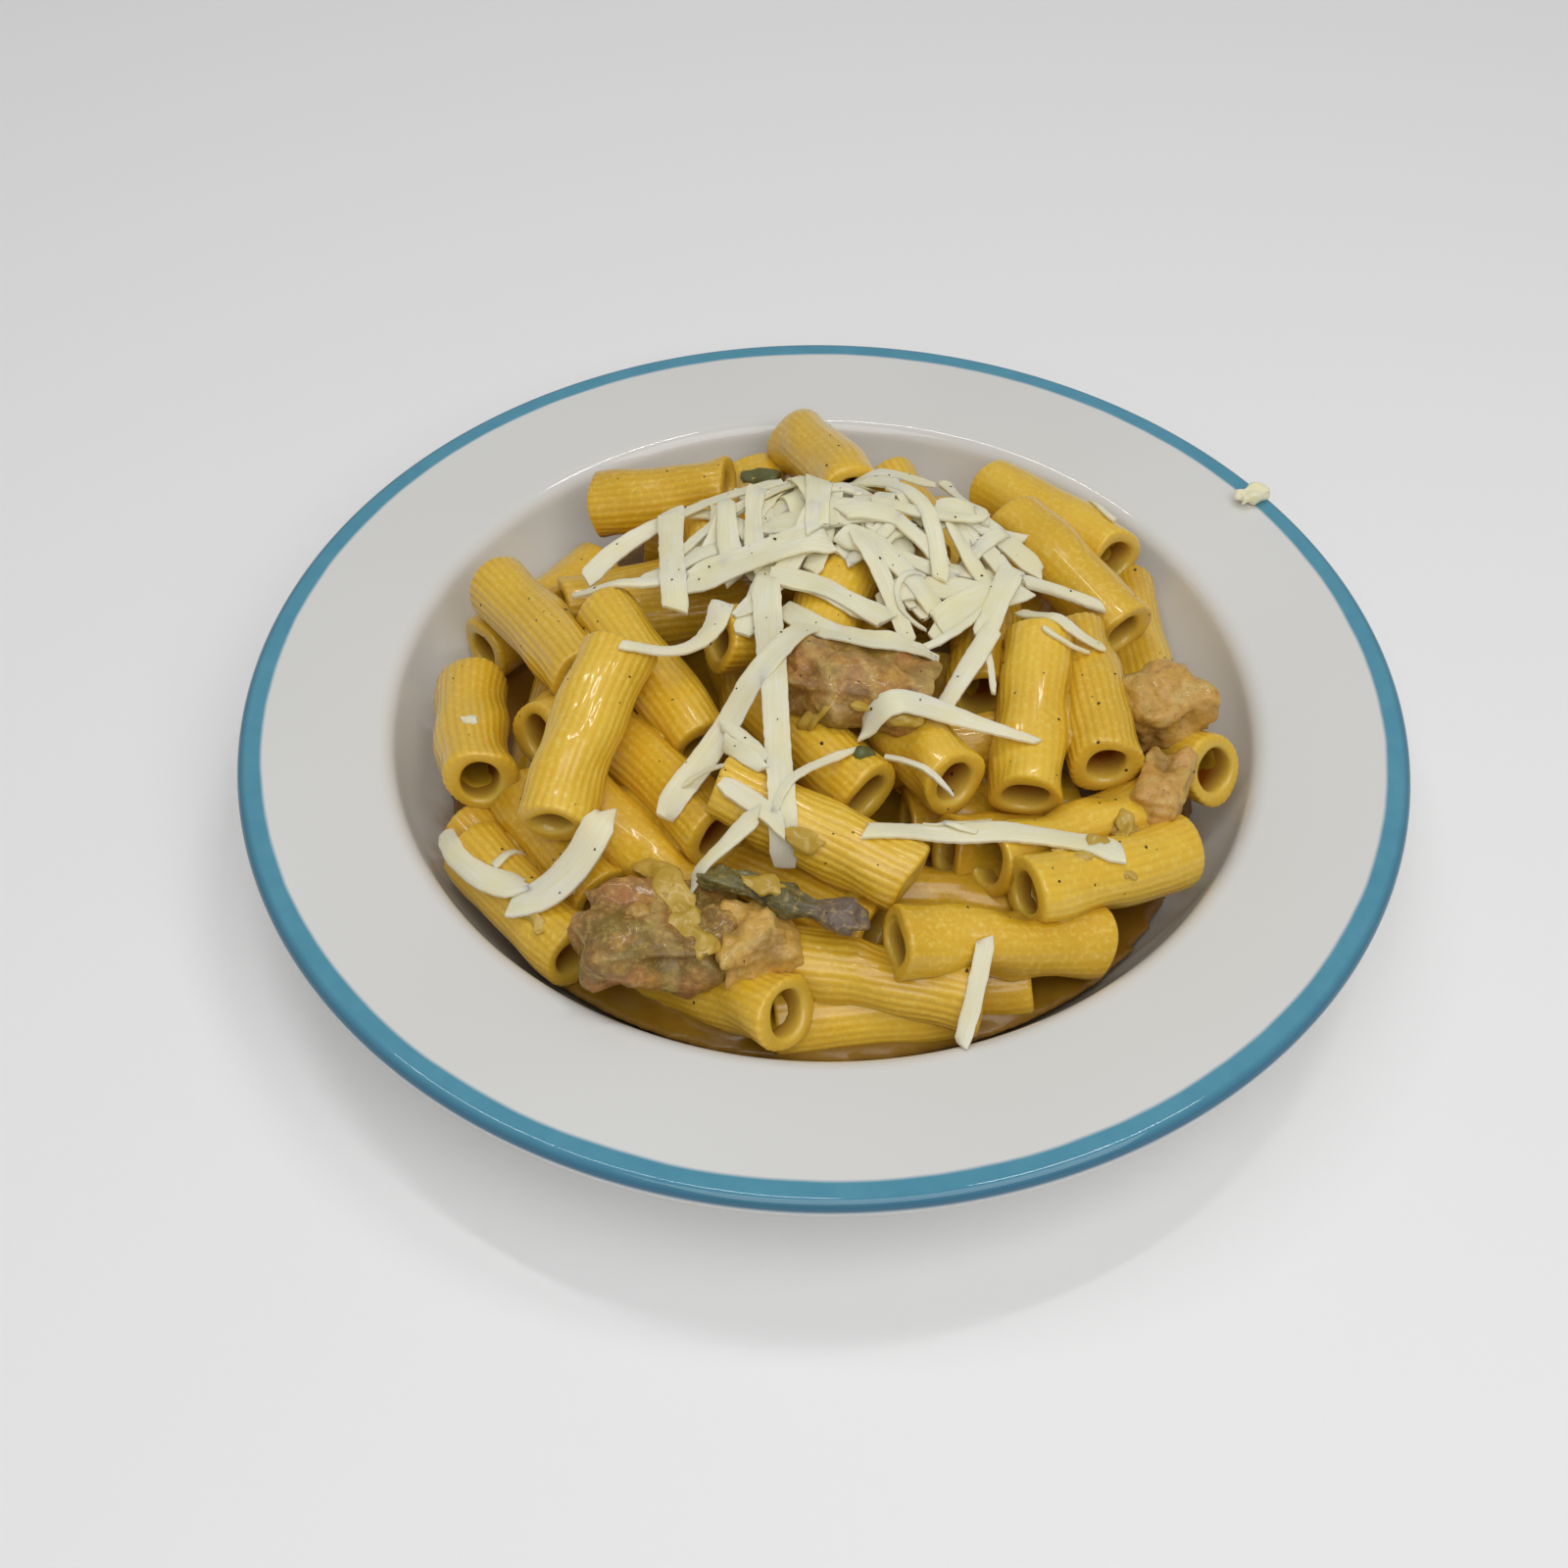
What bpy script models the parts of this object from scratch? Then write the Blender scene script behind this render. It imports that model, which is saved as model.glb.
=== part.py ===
"""A wide-rimmed pasta bowl with a heap of rigatoni, cured pork and grated cheese.

Metres, +Z up.  The origin is on the bowl's axis, on the plane that the foot ring stands on.
The side that faces a diner is -Y.
"""
import math

import bmesh
import bpy
from mathutils import Matrix, Vector, noise
from mathutils.bvhtree import BVHTree

MM = 0.001

# Bowl: radii and heights of its turned outline.
RIM_RADIUS = 0.130
RIM_HEIGHT = 0.036
RIM_FALL = 0.0012
LIP_RADIUS = 0.0023
LIP_THICKNESS = 0.0046
LIP_UNDERSIDE = 0.0021
WELL_RADIUS = 0.097
WELL_ROLL = 0.005
WALL_SLOPE = math.radians(70)
WALL_CURVE = 0.034
FLOOR_HEIGHT = 0.008
SHELL = 0.0046
FOOT_INNER = 0.0575
FOOT_OUTER = 0.0635
FOOT_TAPER = 0.001
SHOULDER_ROLL = 0.003
BOWL_SEGMENTS = 52
BOWL_FINENESS = 0.0002
BAND_WIDTH = 0.0055
SMOOTH_ANGLE = math.radians(40)

# Rigatoni: ridged tubes with square-cut ends.
TUBE_RADIUS = 0.0078
HOLE_RATIO = 0.57
HOLE_DEPTH = 0.009
TUBE_SIDES = 10

# Heap: a dome over the well that the tubes' centre lines follow.
DOME_RADIUS = 0.092
DOME_EDGE = 0.0305
DOME_RISE = 0.023
CORE_DROP = 0.008
CORE_EDGE = 0.018
CORE_GAP = 0.0009
CORE_RINGS = 6
CORE_SEGMENTS = 24
CORE_SHOULDER = 2
GAP = 0.0004
SETTLE_ROUNDS = 60
HOME_PULL = 0.28
FINAL_ROUNDS = 12
PART_SHARE = 0.25
LEVER = 1.2

# Cured pork: ragged blocks; one whose least side is up to SMALL_CHUNK (mm) has coarser facets.
SMALL_CHUNK = 11
CHUNK_SQUARENESS = 0.75
CHUNK_ROUGHNESS = 0.22
CHUNK_BOXINESS = 0.6
CHUNK_GRAIN = 1.6
CHUNK_STRIDE = Vector((7.3, 3.1, 1.7))

# Grated cheese: flat shreds.
SHRED_THICKNESS = 0.0012
SHRED_STEP = 0.005
SHRED_BITE = 0.0010
SHRED_SAG = 0.0004
SHRED_ROLL = 0.002
SHRED_PROBES = (0.0, 0.35, 0.7, 1.1)
SHRED_ROUNDS = 3
LOCAL_TRIES = 5
SKY = 0.15
CRUMB_SIZE = (9.0, 3.6, 2.6)
CRUMB_RADIUS = 0.1250
CRUMB_BEARING = 33
CRUMB_TURN = math.radians(11)
CRUMB_SEED = 31

# Each tube: x, y (mm) of the end that shows best, how far that end's centre lies above the dome
# (mm), then the heading and pitch (degrees) in which the tube runs from there, and its length (mm).
TUBES = (
    (-75, 29, 1, -58, 8, 46), (-51, 12, -1, -60, -2, 45), (-43, -12, 10, -106, -8, 41),
    (-63, -17, -5, 114, -12, 32), (-79, 3, -4, -75, 8, 38), (-79, -37, -3, -40, -3, 40),
    (-46, -60, -4, 121, 16, 44), (-48, -71, -4, 127, -5, 38), (-20, -49, 0, 128, -8, 42),
    (-19, -62, -7, 144, 8, 40), (13, -68, -4, 151, 2, 42), (34, -85, -4, 167, 5, 45),
    (-3, -88, 2, 143, -20, 42), (33, -89, -8, 178, 3, 42), (16, -74, 2, 8, -18, 46),
    (46, -78, -9, 180, 8, 40), (42, -61, -2, 18, -8, 42), (34, -53, -2, 36, -10, 42),
    (18, -62, 1, 158, 6, 44), (9, -42, -1, 124, -4, 40), (28, -37, -2, 128, 0, 36),
    (49, 2, 0, -98, -10, 42), (60, -30, 3, 97, 3, 40), (38, 38, -4, -92, 1, 46),
    (41, 73, 0, -48, 1, 42), (43, 48, 1, -55, -6, 42), (70, 44, -2, -87, 0, 42),
    (89, -21, 5, 136, -30, 36), (66, -40, -3, 194, 4, 40), (-22, -2, 1, 19, -22, 40),
    (-56, 60, -3, -6, 10, 36), (-59, 33, -6, 36, 5, 42), (-30, 71, -4, -81, 14, 42),
    (-18, 84, -7, -81, 12, 40), (-8, 85, 4, -70, 16, 40), (10, -56, -8, 2, -5, 42),
    (-47, 24, -8, 20, 4, 44), (-12, 47, -5, -30, 3, 44), (-2, -6, -6, 76, 2, 44),
    (2, -22, -9, 12, 0, 44), (16, 80, -6, -64, 2, 42), (26, 30, -8, 170, 0, 40),
)

# Further tubes lie low along the wall, each turned a little off the ring's direction, wherever
# the ones above leave room.
UNDER_COUNT = 26
UNDER_RADIUS = 0.077
UNDER_HEIGHT = 0.0255
UNDER_LENGTH = 0.040
UNDER_TURN = 16
UNDER_ROOM = 1.3

# Each chunk of cured pork: name, x, y (mm), lift above the dome (mm), heading and pitch
# (degrees), and its length, width and height (mm).
CHUNKS = (
    ("pork_front", -31, -74, 6, 8, -6, 31, 20, 13),
    ("pork_front_end", -13, -75, 5, 20, 0, 16, 14, 10),
    ("pork_rind_strip", -8, -69, 9, -16, -6, 34, 6, 4),
    ("pork_middle", 7, -19, 6, -8, -4, 31, 17, 12),
    ("pork_right", 74, -9, 5, 20, 0, 18, 16, 14),
    ("pork_right_low", 72, -31, 3, 70, 0, 17, 10, 11),
    ("pork_back", 19, 30, 6, 10, 0, 12, 9, 7),
)

# Each cheese shred: x, y (mm) where it starts, the heading there, how far it turns on the way
# (degrees, positive to the left), its length, its width and its width at the far end (mm).
LOOSE_SHREDS = (
    ("cheese_curl", ((-43, -51, -104, -84, 26, 6.0, 6.0), (-59, -61, 172, -74, 31, 6.0, 3.0))),
    ("cheese_strip_right", ((9, -58, 24, -40, 54, 4.0, 5.5),)),
    ("cheese_strip_front", ((33, -76, -101, -8, 18, 3.6, 3.0),)),
)
PILE_SHREDS = (
    (-55, 28, 42, -40, 50, 3.5, 5.0), (-36, 42, -87, 5, 29, 6.0, 6.5), (-57, 26, -24, 40, 28, 3.0, 4.0),
    (-23, 38, -62, -20, 19, 5.0, 5.5), (-2, 49, -83, -12, 25, 6.0, 6.2), (10, 54, -80, 85, 36, 4.2, 4.4),
    (29, 75, -80, 8, 36, 4.6, 5.2), (-31, 18, -4, 24, 34, 6.4, 6.8), (-9, 10, -8, 10, 22, 4.0, 4.4),
    (2, 12, 0, -30, 24, 5.3, 5.3), (8, 53, -30, -92, 66, 4.4, 4.0), (26, 4, 38, 0, 26, 7.4, 7.0),
    (44, 17, -8, -24, 18, 3.2, 2.4), (44, 6, -60, 70, 20, 3.4, 2.4), (36, 3, -116, 5, 31, 4.6, 3.6),
    (16, 20, -30, -120, 28, 2.0, 2.0), (-13, 11, -85, 0, 74, 5.7, 5.6), (-21, -24, -72, 14, 22, 4.0, 4.0),
    (7, -36, -158, 38, 21, 2.4, 2.6), (-20, -49, -40, 6, 17, 3.0, 3.2), (-12, -57, -154, 10, 16, 3.9, 3.6),
    (-4, -5, -115, -13, 54, 6.0, 5.6), (-8, 3, -68, 70, 39, 5.0, 6.2), (-42, -20, 10, 76, 32, 2.0, 5.4),
    (8, -31, 20, -36, 38, 5.0, 1.8),
)


def material(name, colour, roughness):
    made = bpy.data.materials.new(name)
    made.use_nodes = True
    shader = made.node_tree.nodes["Principled BSDF"]
    shader.inputs["Base Color"].default_value = (*colour, 1.0)
    shader.inputs["Roughness"].default_value = roughness
    shader.inputs["Metallic"].default_value = 0.0
    return made


def add_object(name, mesh, *materials):
    piece = bpy.data.objects.new(name, mesh)
    bpy.context.scene.collection.objects.link(piece)
    for finish in materials:
        mesh.materials.append(finish)
    return piece


def mesh_from(name, vertices, faces):
    mesh = bpy.data.meshes.new(name)
    mesh.from_pydata([tuple(v) for v in vertices], [], faces)
    mesh.validate()
    return mesh


# ---------------------------------------------------------------- bowl

def rounded(corners, fineness):
    """Points of an outline in the (radius, height) plane; a corner is (radius, height, fillet).

    A fillet's chords stray from its arc by the fineness at most.
    """
    points = []
    for index, (radius, height, fillet) in enumerate(corners):
        here = Vector((radius, height))
        if fillet == 0.0:
            points.append(here)
            continue
        into = (here - Vector(corners[index - 1][:2])).normalized()
        out = (Vector(corners[index + 1][:2]) - here).normalized()
        turn = math.atan2(into.x * out.y - into.y * out.x, into.dot(out))
        start = here - into * fillet * math.tan(abs(turn) / 2)
        centre = start + Vector((-into.y, into.x)) * math.copysign(fillet, turn)
        count = max(2, math.ceil(abs(turn) / (2 * math.acos(1 - fineness / fillet))))
        for k in range(count + 1):
            angle = turn * k / count
            spoke = start - centre
            points.append(centre + Vector((
                spoke.x * math.cos(angle) - spoke.y * math.sin(angle),
                spoke.x * math.sin(angle) + spoke.y * math.cos(angle))))
    return points


def wall_foot(outwards):
    """Radius where the wall's straight line meets the floor, for a surface moved outwards."""
    run = (RIM_HEIGHT - RIM_FALL - FLOOR_HEIGHT) / math.tan(WALL_SLOPE)
    return WELL_RADIUS - run + outwards * math.tan(WALL_SLOPE / 2)


def wall_line(outwards, height):
    """Radius of the moved wall's straight line at a height."""
    return wall_foot(outwards) + (height - FLOOR_HEIGHT + outwards) / math.tan(WALL_SLOPE)


def well_radius(inwards, height):
    """Radius of the well's inner surface, moved inwards, at a height."""
    drop = FLOOR_HEIGHT + WALL_CURVE - height
    curve = WALL_CURVE - inwards
    if drop < curve * math.cos(WALL_SLOPE):
        return wall_line(-inwards, height)
    return curve_start() + math.sqrt(curve ** 2 - drop ** 2)


def curve_start():
    """Radius where the well's flat floor ends."""
    return wall_foot(0.0) - WALL_CURVE * math.tan(WALL_SLOPE / 2)


def bowl_outline():
    """From the middle of the well over the rim and back under to the middle of the underside."""
    under = FLOOR_HEIGHT - SHELL
    shoulder = RIM_HEIGHT - RIM_FALL - SHELL
    skin = rounded((
        (0.0, FLOOR_HEIGHT, 0.0),
        (wall_foot(0.0), FLOOR_HEIGHT, WALL_CURVE),
        (WELL_RADIUS, RIM_HEIGHT - RIM_FALL, WELL_ROLL),
        (RIM_RADIUS, RIM_HEIGHT, LIP_RADIUS),
        (RIM_RADIUS, RIM_HEIGHT - LIP_THICKNESS, LIP_UNDERSIDE),
        (wall_line(SHELL, shoulder), shoulder, SHOULDER_ROLL),
        (wall_foot(SHELL), under, WALL_CURVE + SHELL),
        (0.0, under, 0.0),
    ), BOWL_FINENESS)
    above = (FLOOR_HEIGHT + under) / 2
    kept = [point for point in skin if point.y > above or point.x > FOOT_OUTER + FOOT_TAPER]
    foot = (
        (FOOT_OUTER, under),
        (FOOT_OUTER - FOOT_TAPER, 0.0),
        (FOOT_INNER + FOOT_TAPER, 0.0),
        (FOOT_INNER, under),
        (0.0, under),
    )
    return kept + [Vector(point) for point in foot]


def turned(name, outline, segments):
    """A closed solid turned about Z; the outline starts and ends on the axis."""
    rings = outline[1:-1]
    vertices = [Vector((0.0, 0.0, outline[0].y)), Vector((0.0, 0.0, outline[-1].y))]
    for point in rings:
        for k in range(segments):
            angle = 2 * math.pi * k / segments
            vertices.append(Vector((point.x * math.cos(angle), point.x * math.sin(angle), point.y)))
    faces = []
    last = 2 + (len(rings) - 1) * segments
    for k in range(segments):
        after = (k + 1) % segments
        faces.append((0, 2 + k, 2 + after))
        faces.append((1, last + after, last + k))
        for row in range(len(rings) - 1):
            low = 2 + row * segments
            faces.append((low + k, low + segments + k, low + segments + after, low + after))
    mesh = mesh_from(name, vertices, faces)
    face_outwards(mesh)
    return mesh


def face_outwards(mesh):
    shape = bmesh.new()
    shape.from_mesh(mesh)
    bmesh.ops.recalc_face_normals(shape, faces=shape.faces)
    if shape.calc_volume(signed=True) < 0:
        bmesh.ops.reverse_faces(shape, faces=shape.faces)
    shape.to_mesh(mesh)
    shape.free()


def make_bowl():
    mesh = turned("plate", bowl_outline(), BOWL_SEGMENTS)
    plate = add_object("plate", mesh, material("glazed_white", (0.62, 0.62, 0.61), 0.12),
                       material("glazed_blue", (0.07, 0.25, 0.36), 0.12))
    for face in mesh.polygons:
        middle = face.center
        if middle.z > RIM_HEIGHT - LIP_THICKNESS / 2 and middle.xy.length > RIM_RADIUS - BAND_WIDTH:
            face.material_index = 1
    mesh.shade_smooth()
    mesh.set_sharp_from_angle(angle=SMOOTH_ANGLE)
    return plate


# ---------------------------------------------------------------- rigatoni

def dome(x, y):
    """Height of the surface that the top layer's centre lines follow."""
    return DOME_EDGE + DOME_RISE * (1 - (x * x + y * y) / DOME_RADIUS ** 2)


def laid_tubes():
    """The two ends of every tube's centre line, before they settle."""
    tubes = []
    for x, y, lift, heading, pitch, length in TUBES:
        start = Vector((x * MM, y * MM, dome(x * MM, y * MM) + lift * MM))
        tubes.append([start, start + direction(heading, pitch) * length * MM])
    for k in range(UNDER_COUNT):
        bearing = 360 * k / UNDER_COUNT
        heading = bearing + 90 + UNDER_TURN * (-1) ** k
        middle = direction(bearing, 0) * UNDER_RADIUS + Vector((0.0, 0.0, UNDER_HEIGHT))
        half = direction(heading, 0) * UNDER_LENGTH / 2
        low = [middle - half, middle + half]
        if min(apart(low, tube).length for tube in tubes) > UNDER_ROOM * TUBE_RADIUS:
            tubes.append(low)
    return tubes


def direction(heading, pitch):
    level = math.cos(math.radians(pitch))
    return Vector((
        level * math.cos(math.radians(heading)),
        level * math.sin(math.radians(heading)),
        math.sin(math.radians(pitch))))


def nearest(first, second):
    """Where on two segments, as fractions of their lengths, they come closest."""
    along = first[1] - first[0]
    across = second[1] - second[0]
    between = first[0] - second[0]
    a, b, c = along.dot(along), along.dot(across), across.dot(across)
    d, e = along.dot(between), across.dot(between)
    square = a * c - b * b
    s = 0.5 if square < 1e-12 else min(1.0, max(0.0, (b * e - c * d) / square))
    t = min(1.0, max(0.0, (b * s + e) / c))
    s = min(1.0, max(0.0, (b * t - d) / a))
    return s, t


def apart(first, second):
    """The shortest way from the second centre line to the first."""
    s, t = nearest(first, second)
    return first[0].lerp(first[1], s) - second[0].lerp(second[1], t)


def push(tube, fraction, step):
    """Move a tube by a step applied at a fraction of its length, turning it as a lever."""
    tube[0] += step * (1 - fraction) * LEVER
    tube[1] += step * fraction * LEVER


def part_tubes(first, second):
    way = apart(first, second)
    overlap = 2 * TUBE_RADIUS - way.length
    if overlap > 0:
        s, t = nearest(first, second)
        step = way.normalized() * overlap * PART_SHARE
        push(first, s, step)
        push(second, t, -step)


def keep_in_bowl(tube):
    """Push a tube's ends and middle off the floor, the curve and the wall of the well."""
    clear = TUBE_RADIUS + CORE_GAP
    for fraction in (0.0, 0.5, 1.0):
        point = tube[0].lerp(tube[1], fraction)
        radius = point.xy.length
        outward = Vector((point.x, point.y, 0.0)).normalized()
        low = FLOOR_HEIGHT + clear - point.z
        if low > 0:
            push(tube, fraction, Vector((0.0, 0.0, low)))
        spoke = Vector((radius - curve_start(), point.z - FLOOR_HEIGHT - WALL_CURVE))
        past = spoke.length - (WALL_CURVE - clear)
        turn = math.atan2(spoke.x, -spoke.y)
        if past > 0 and 0 < turn < WALL_SLOPE:
            inward = -spoke.normalized() * past
            push(tube, fraction, outward * inward.x + Vector((0.0, 0.0, inward.y)))
        past = (radius - wall_line(-clear, point.z)) * math.sin(WALL_SLOPE)
        if past > 0 and turn >= WALL_SLOPE:
            push(tube, fraction, outward * -past)


def settle(tubes):
    """Part tubes that cross, keep them in the bowl and hold them near where they were laid."""
    homes = [(tube[0].copy(), tube[1].copy()) for tube in tubes]
    for _ in range(SETTLE_ROUNDS):
        for index, tube in enumerate(tubes):
            for other in tubes[:index]:
                part_tubes(tube, other)
        for tube, home in zip(tubes, homes):
            for end in (0, 1):
                tube[end] += (home[end] - tube[end]) * HOME_PULL
            keep_in_bowl(tube)
            middle = (tube[0] + tube[1]) / 2
            half = (tube[1] - tube[0]).normalized() * (home[1] - home[0]).length / 2
            tube[0], tube[1] = middle - half, middle + half
    for tube in tubes:
        for _ in range(FINAL_ROUNDS):
            keep_in_bowl(tube)
    return tubes


def frame_of(axis):
    """Two directions square to an axis."""
    side = axis.cross(Vector((0.0, 0.0, 1.0)))
    if side.length < 1e-3:
        side = Vector((1.0, 0.0, 0.0))
    side.normalize()
    return side, side.cross(axis)


def in_sight(point, tubes):
    """Whether a tube's end is clear of the core and of the other tubes."""
    if point.z < dome(point.x, point.y) - CORE_DROP:
        return False
    for start, end in tubes:
        along = end - start
        share = (point - start).dot(along) / along.length_squared
        if 0.01 < share < 0.99 and (start.lerp(end, share) - point).length < TUBE_RADIUS:
            return False
    return True


def tube_mesh(name, start, end, open_start=False, open_end=False, grow=0.0):
    """A tube with a recess in each open end; grown, it is larger all round."""
    axis = (end - start).normalized()
    side, up = frame_of(axis)
    outer = TUBE_RADIUS + grow
    inner = TUBE_RADIUS * HOLE_RATIO
    start = start - axis * grow
    end = end + axis * grow
    depth = axis * HOLE_DEPTH
    rings = [(start, outer), (end, outer)]
    if open_start:
        rings = [(start + depth, inner), (start, inner)] + rings
    if open_end:
        rings += [(end, inner), (end - depth, inner)]
    vertices = []
    for centre, radius in rings:
        for k in range(TUBE_SIDES):
            angle = 2 * math.pi * k / TUBE_SIDES
            vertices.append(centre + side * radius * math.cos(angle) + up * radius * math.sin(angle))
    faces = [tuple(range(TUBE_SIDES))[::-1]]
    for row in range(len(rings) - 1):
        low = row * TUBE_SIDES
        for k in range(TUBE_SIDES):
            after = (k + 1) % TUBE_SIDES
            faces.append((low + k, low + after, low + TUBE_SIDES + after, low + TUBE_SIDES + k))
    top = (len(rings) - 1) * TUBE_SIDES
    faces.append(tuple(range(top, top + TUBE_SIDES)))
    mesh = mesh_from(name, vertices, faces)
    face_outwards(mesh)
    return mesh


def core_mesh(name, grow=0.0):
    """The heap's smooth core: it lines the well and domes up under the tubes."""
    floor = FLOOR_HEIGHT + CORE_GAP
    lining = [Vector((0.0, floor)), Vector((curve_start(), floor))]
    for k in range(1, CORE_RINGS + 1):
        height = floor + (CORE_EDGE - floor) * (k / CORE_RINGS) ** 2
        lining.append(Vector((well_radius(CORE_GAP, height), height)))
    edge = lining[-1].x
    top = []
    for k in range(1, CORE_RINGS + 1):
        radius = edge * (1 - k / CORE_RINGS)
        ease = min(1.0, k / CORE_SHOULDER)
        height = dome(radius, 0.0) - CORE_DROP + grow
        top.append(Vector((radius, CORE_EDGE + (height - CORE_EDGE) * ease)))
    return turned(name, lining + top, CORE_SEGMENTS)


def joined(base, others, operation, solver="EXACT"):
    """Apply one Boolean of a collection to an object and remove the collection's objects."""
    group = bpy.data.collections.new("operands")
    bpy.context.scene.collection.children.link(group)
    for other in others:
        group.objects.link(other)
    cut = base.modifiers.new("join", "BOOLEAN")
    cut.operation = operation
    cut.operand_type = "COLLECTION"
    cut.collection = group
    cut.solver = solver
    graph = bpy.context.evaluated_depsgraph_get()
    mesh = bpy.data.meshes.new_from_object(base.evaluated_get(graph), depsgraph=graph)
    base.modifiers.clear()
    for other in others:
        bpy.data.objects.remove(other)
    bpy.data.collections.remove(group)
    base.data = mesh
    return base


def bodies_of(shape):
    """The separate bodies of a mesh, as lists of faces."""
    left = set(shape.faces)
    bodies = []
    while left:
        todo = [left.pop()]
        body = []
        while todo:
            face = todo.pop()
            body.append(face)
            for edge in face.edges:
                for other in edge.link_faces:
                    if other in left:
                        left.remove(other)
                        todo.append(other)
        bodies.append(body)
    return bodies


def keep_largest(piece):
    """Drop loose scraps and fill sealed hollows: only the body with the largest box stays."""
    shape = bmesh.new()
    shape.from_mesh(piece.data)
    bodies = sorted(bodies_of(shape), key=body_span, reverse=True)
    spare = [face for body in bodies[1:] for face in body]
    bmesh.ops.delete(shape, geom=spare, context="FACES")
    bmesh.ops.triangulate(shape, faces=shape.faces)
    shape.to_mesh(piece.data)
    shape.free()


def body_span(body):
    points = [vertex.co for face in body for vertex in face.verts]
    return sum(max(p[k] for p in points) - min(p[k] for p in points) for k in range(3))


def make_heap(tubes):
    heap = add_object("pasta_heap", core_mesh("pasta_heap"))
    pieces = []
    for index, (start, end) in enumerate(tubes):
        name = f"tube_{index:02d}"
        mesh = tube_mesh(name, start, end, in_sight(start, tubes), in_sight(end, tubes))
        pieces.append(add_object(name, mesh))
    joined(heap, pieces, "UNION", "MANIFOLD")
    keep_largest(heap)
    heap.data.materials.append(material("egg_pasta", (0.68, 0.42, 0.05), 0.38))
    return heap


# ---------------------------------------------------------------- cured pork

def chunk_mesh(name, size, seed):
    """A ragged block: a ball pressed towards a box and roughened."""
    shape = bmesh.new()
    detail = 3 if min(size) > SMALL_CHUNK else 2
    bmesh.ops.create_icosphere(shape, subdivisions=detail, radius=1.0)
    shift = CHUNK_STRIDE * seed
    for vertex in shape.verts:
        unit = vertex.co.normalized()
        squared = Vector([math.copysign(abs(value) ** CHUNK_SQUARENESS, value) for value in unit])
        squared /= max(abs(value) for value in squared) ** CHUNK_BOXINESS
        rough = 1 + CHUNK_ROUGHNESS * noise.noise(unit * CHUNK_GRAIN + shift)
        vertex.co = Vector([squared[k] * size[k] * MM / 2 * rough for k in range(3)])
    mesh = bpy.data.meshes.new(name)
    shape.to_mesh(mesh)
    shape.free()
    return mesh


def lay_chunk(piece, x, y, lift, heading, pitch):
    turn = Matrix.Rotation(math.radians(heading), 4, "Z") @ Matrix.Rotation(math.radians(-pitch), 4, "Y")
    place = Matrix.Translation((x * MM, y * MM, dome(x * MM, y * MM) + lift * MM))
    piece.data.transform(place @ turn)


def grown_heap(tubes, box):
    """Plain copies of the core and of the tubes near a box, a little larger all round."""
    low, high = box
    pieces = [add_object("grown_core", core_mesh("grown_core", GAP))]
    corner = math.cos(math.pi / TUBE_SIDES)
    for index, (start, end) in enumerate(tubes):
        reach = TUBE_RADIUS + GAP
        inside = all(min(start[k], end[k]) - reach < high[k] and max(start[k], end[k]) + reach > low[k]
                     for k in range(3))
        if inside:
            name = f"grown_{index:02d}"
            pieces.append(add_object(name, tube_mesh(name, start, end, grow=GAP / corner)))
    return pieces


def bounds_of(mesh):
    points = [vertex.co for vertex in mesh.vertices]
    return ([min(p[k] for p in points) for k in range(3)], [max(p[k] for p in points) for k in range(3)])


def make_pork(tubes):
    """Chunks that lie in the hollows of the heap, each shaped by what it rests on."""
    finish = material("cured_pork", (0.42, 0.26, 0.14), 0.5)
    chunks = []
    for seed, (name, x, y, lift, heading, pitch, *size) in enumerate(CHUNKS, start=1):
        piece = add_object(name, chunk_mesh(name, size, seed))
        lay_chunk(piece, x, y, lift, heading, pitch)
        cutters = grown_heap(tubes, bounds_of(piece.data))
        for neighbour in chunks:
            cutters.append(grown_copy(neighbour, GAP))
        joined(piece, cutters, "DIFFERENCE", "MANIFOLD")
        keep_largest(piece)
        piece.data.materials.clear()
        piece.data.materials.append(finish)
        chunks.append(piece)
    return chunks


def grown_copy(piece, distance):
    """The convex hull of a piece, moved outwards all round."""
    shape = bmesh.new()
    for vertex in piece.data.vertices:
        shape.verts.new(vertex.co)
    bmesh.ops.convex_hull(shape, input=shape.verts)
    spare = [vertex for vertex in shape.verts if not vertex.link_faces]
    bmesh.ops.delete(shape, geom=spare, context="VERTS")
    bmesh.ops.recalc_face_normals(shape, faces=shape.faces)
    shape.normal_update()
    for vertex, normal in [(vertex, vertex.normal.copy()) for vertex in shape.verts]:
        vertex.co += normal * distance
    mesh = bpy.data.meshes.new(piece.name + "_grown")
    shape.to_mesh(mesh)
    shape.free()
    return add_object(mesh.name, mesh)


# ---------------------------------------------------------------- cheese

def tree_of(pieces):
    shape = bmesh.new()
    for piece in pieces:
        shape.from_mesh(piece.data)
    tree = BVHTree.FromBMesh(shape)
    shape.free()
    return tree


def surface(tree, x, y, fallback):
    hit = tree.ray_cast(Vector((x, y, SKY)), Vector((0.0, 0.0, -1.0)))[0] if tree else None
    return hit.z if hit else fallback


def shred_path(x, y, heading, bend, length, width, tip):
    """Stations along a flat arc: each is its middle, its sideways direction and its width."""
    count = max(3, math.ceil(length * MM / SHRED_STEP))
    step = length * MM / count
    place = Vector((x * MM, y * MM))
    stations = []
    for k in range(count + 1):
        angle = math.radians(heading + bend * k / count)
        along = Vector((math.cos(angle), math.sin(angle)))
        stations.append((place.copy(), Vector((-along.y, along.x)), (width + (tip - width) * k / count) * MM))
        ahead = math.radians(heading + bend * (k + 0.5) / count)
        place += Vector((math.cos(ahead), math.sin(ahead))) * step
    return stations


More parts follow.
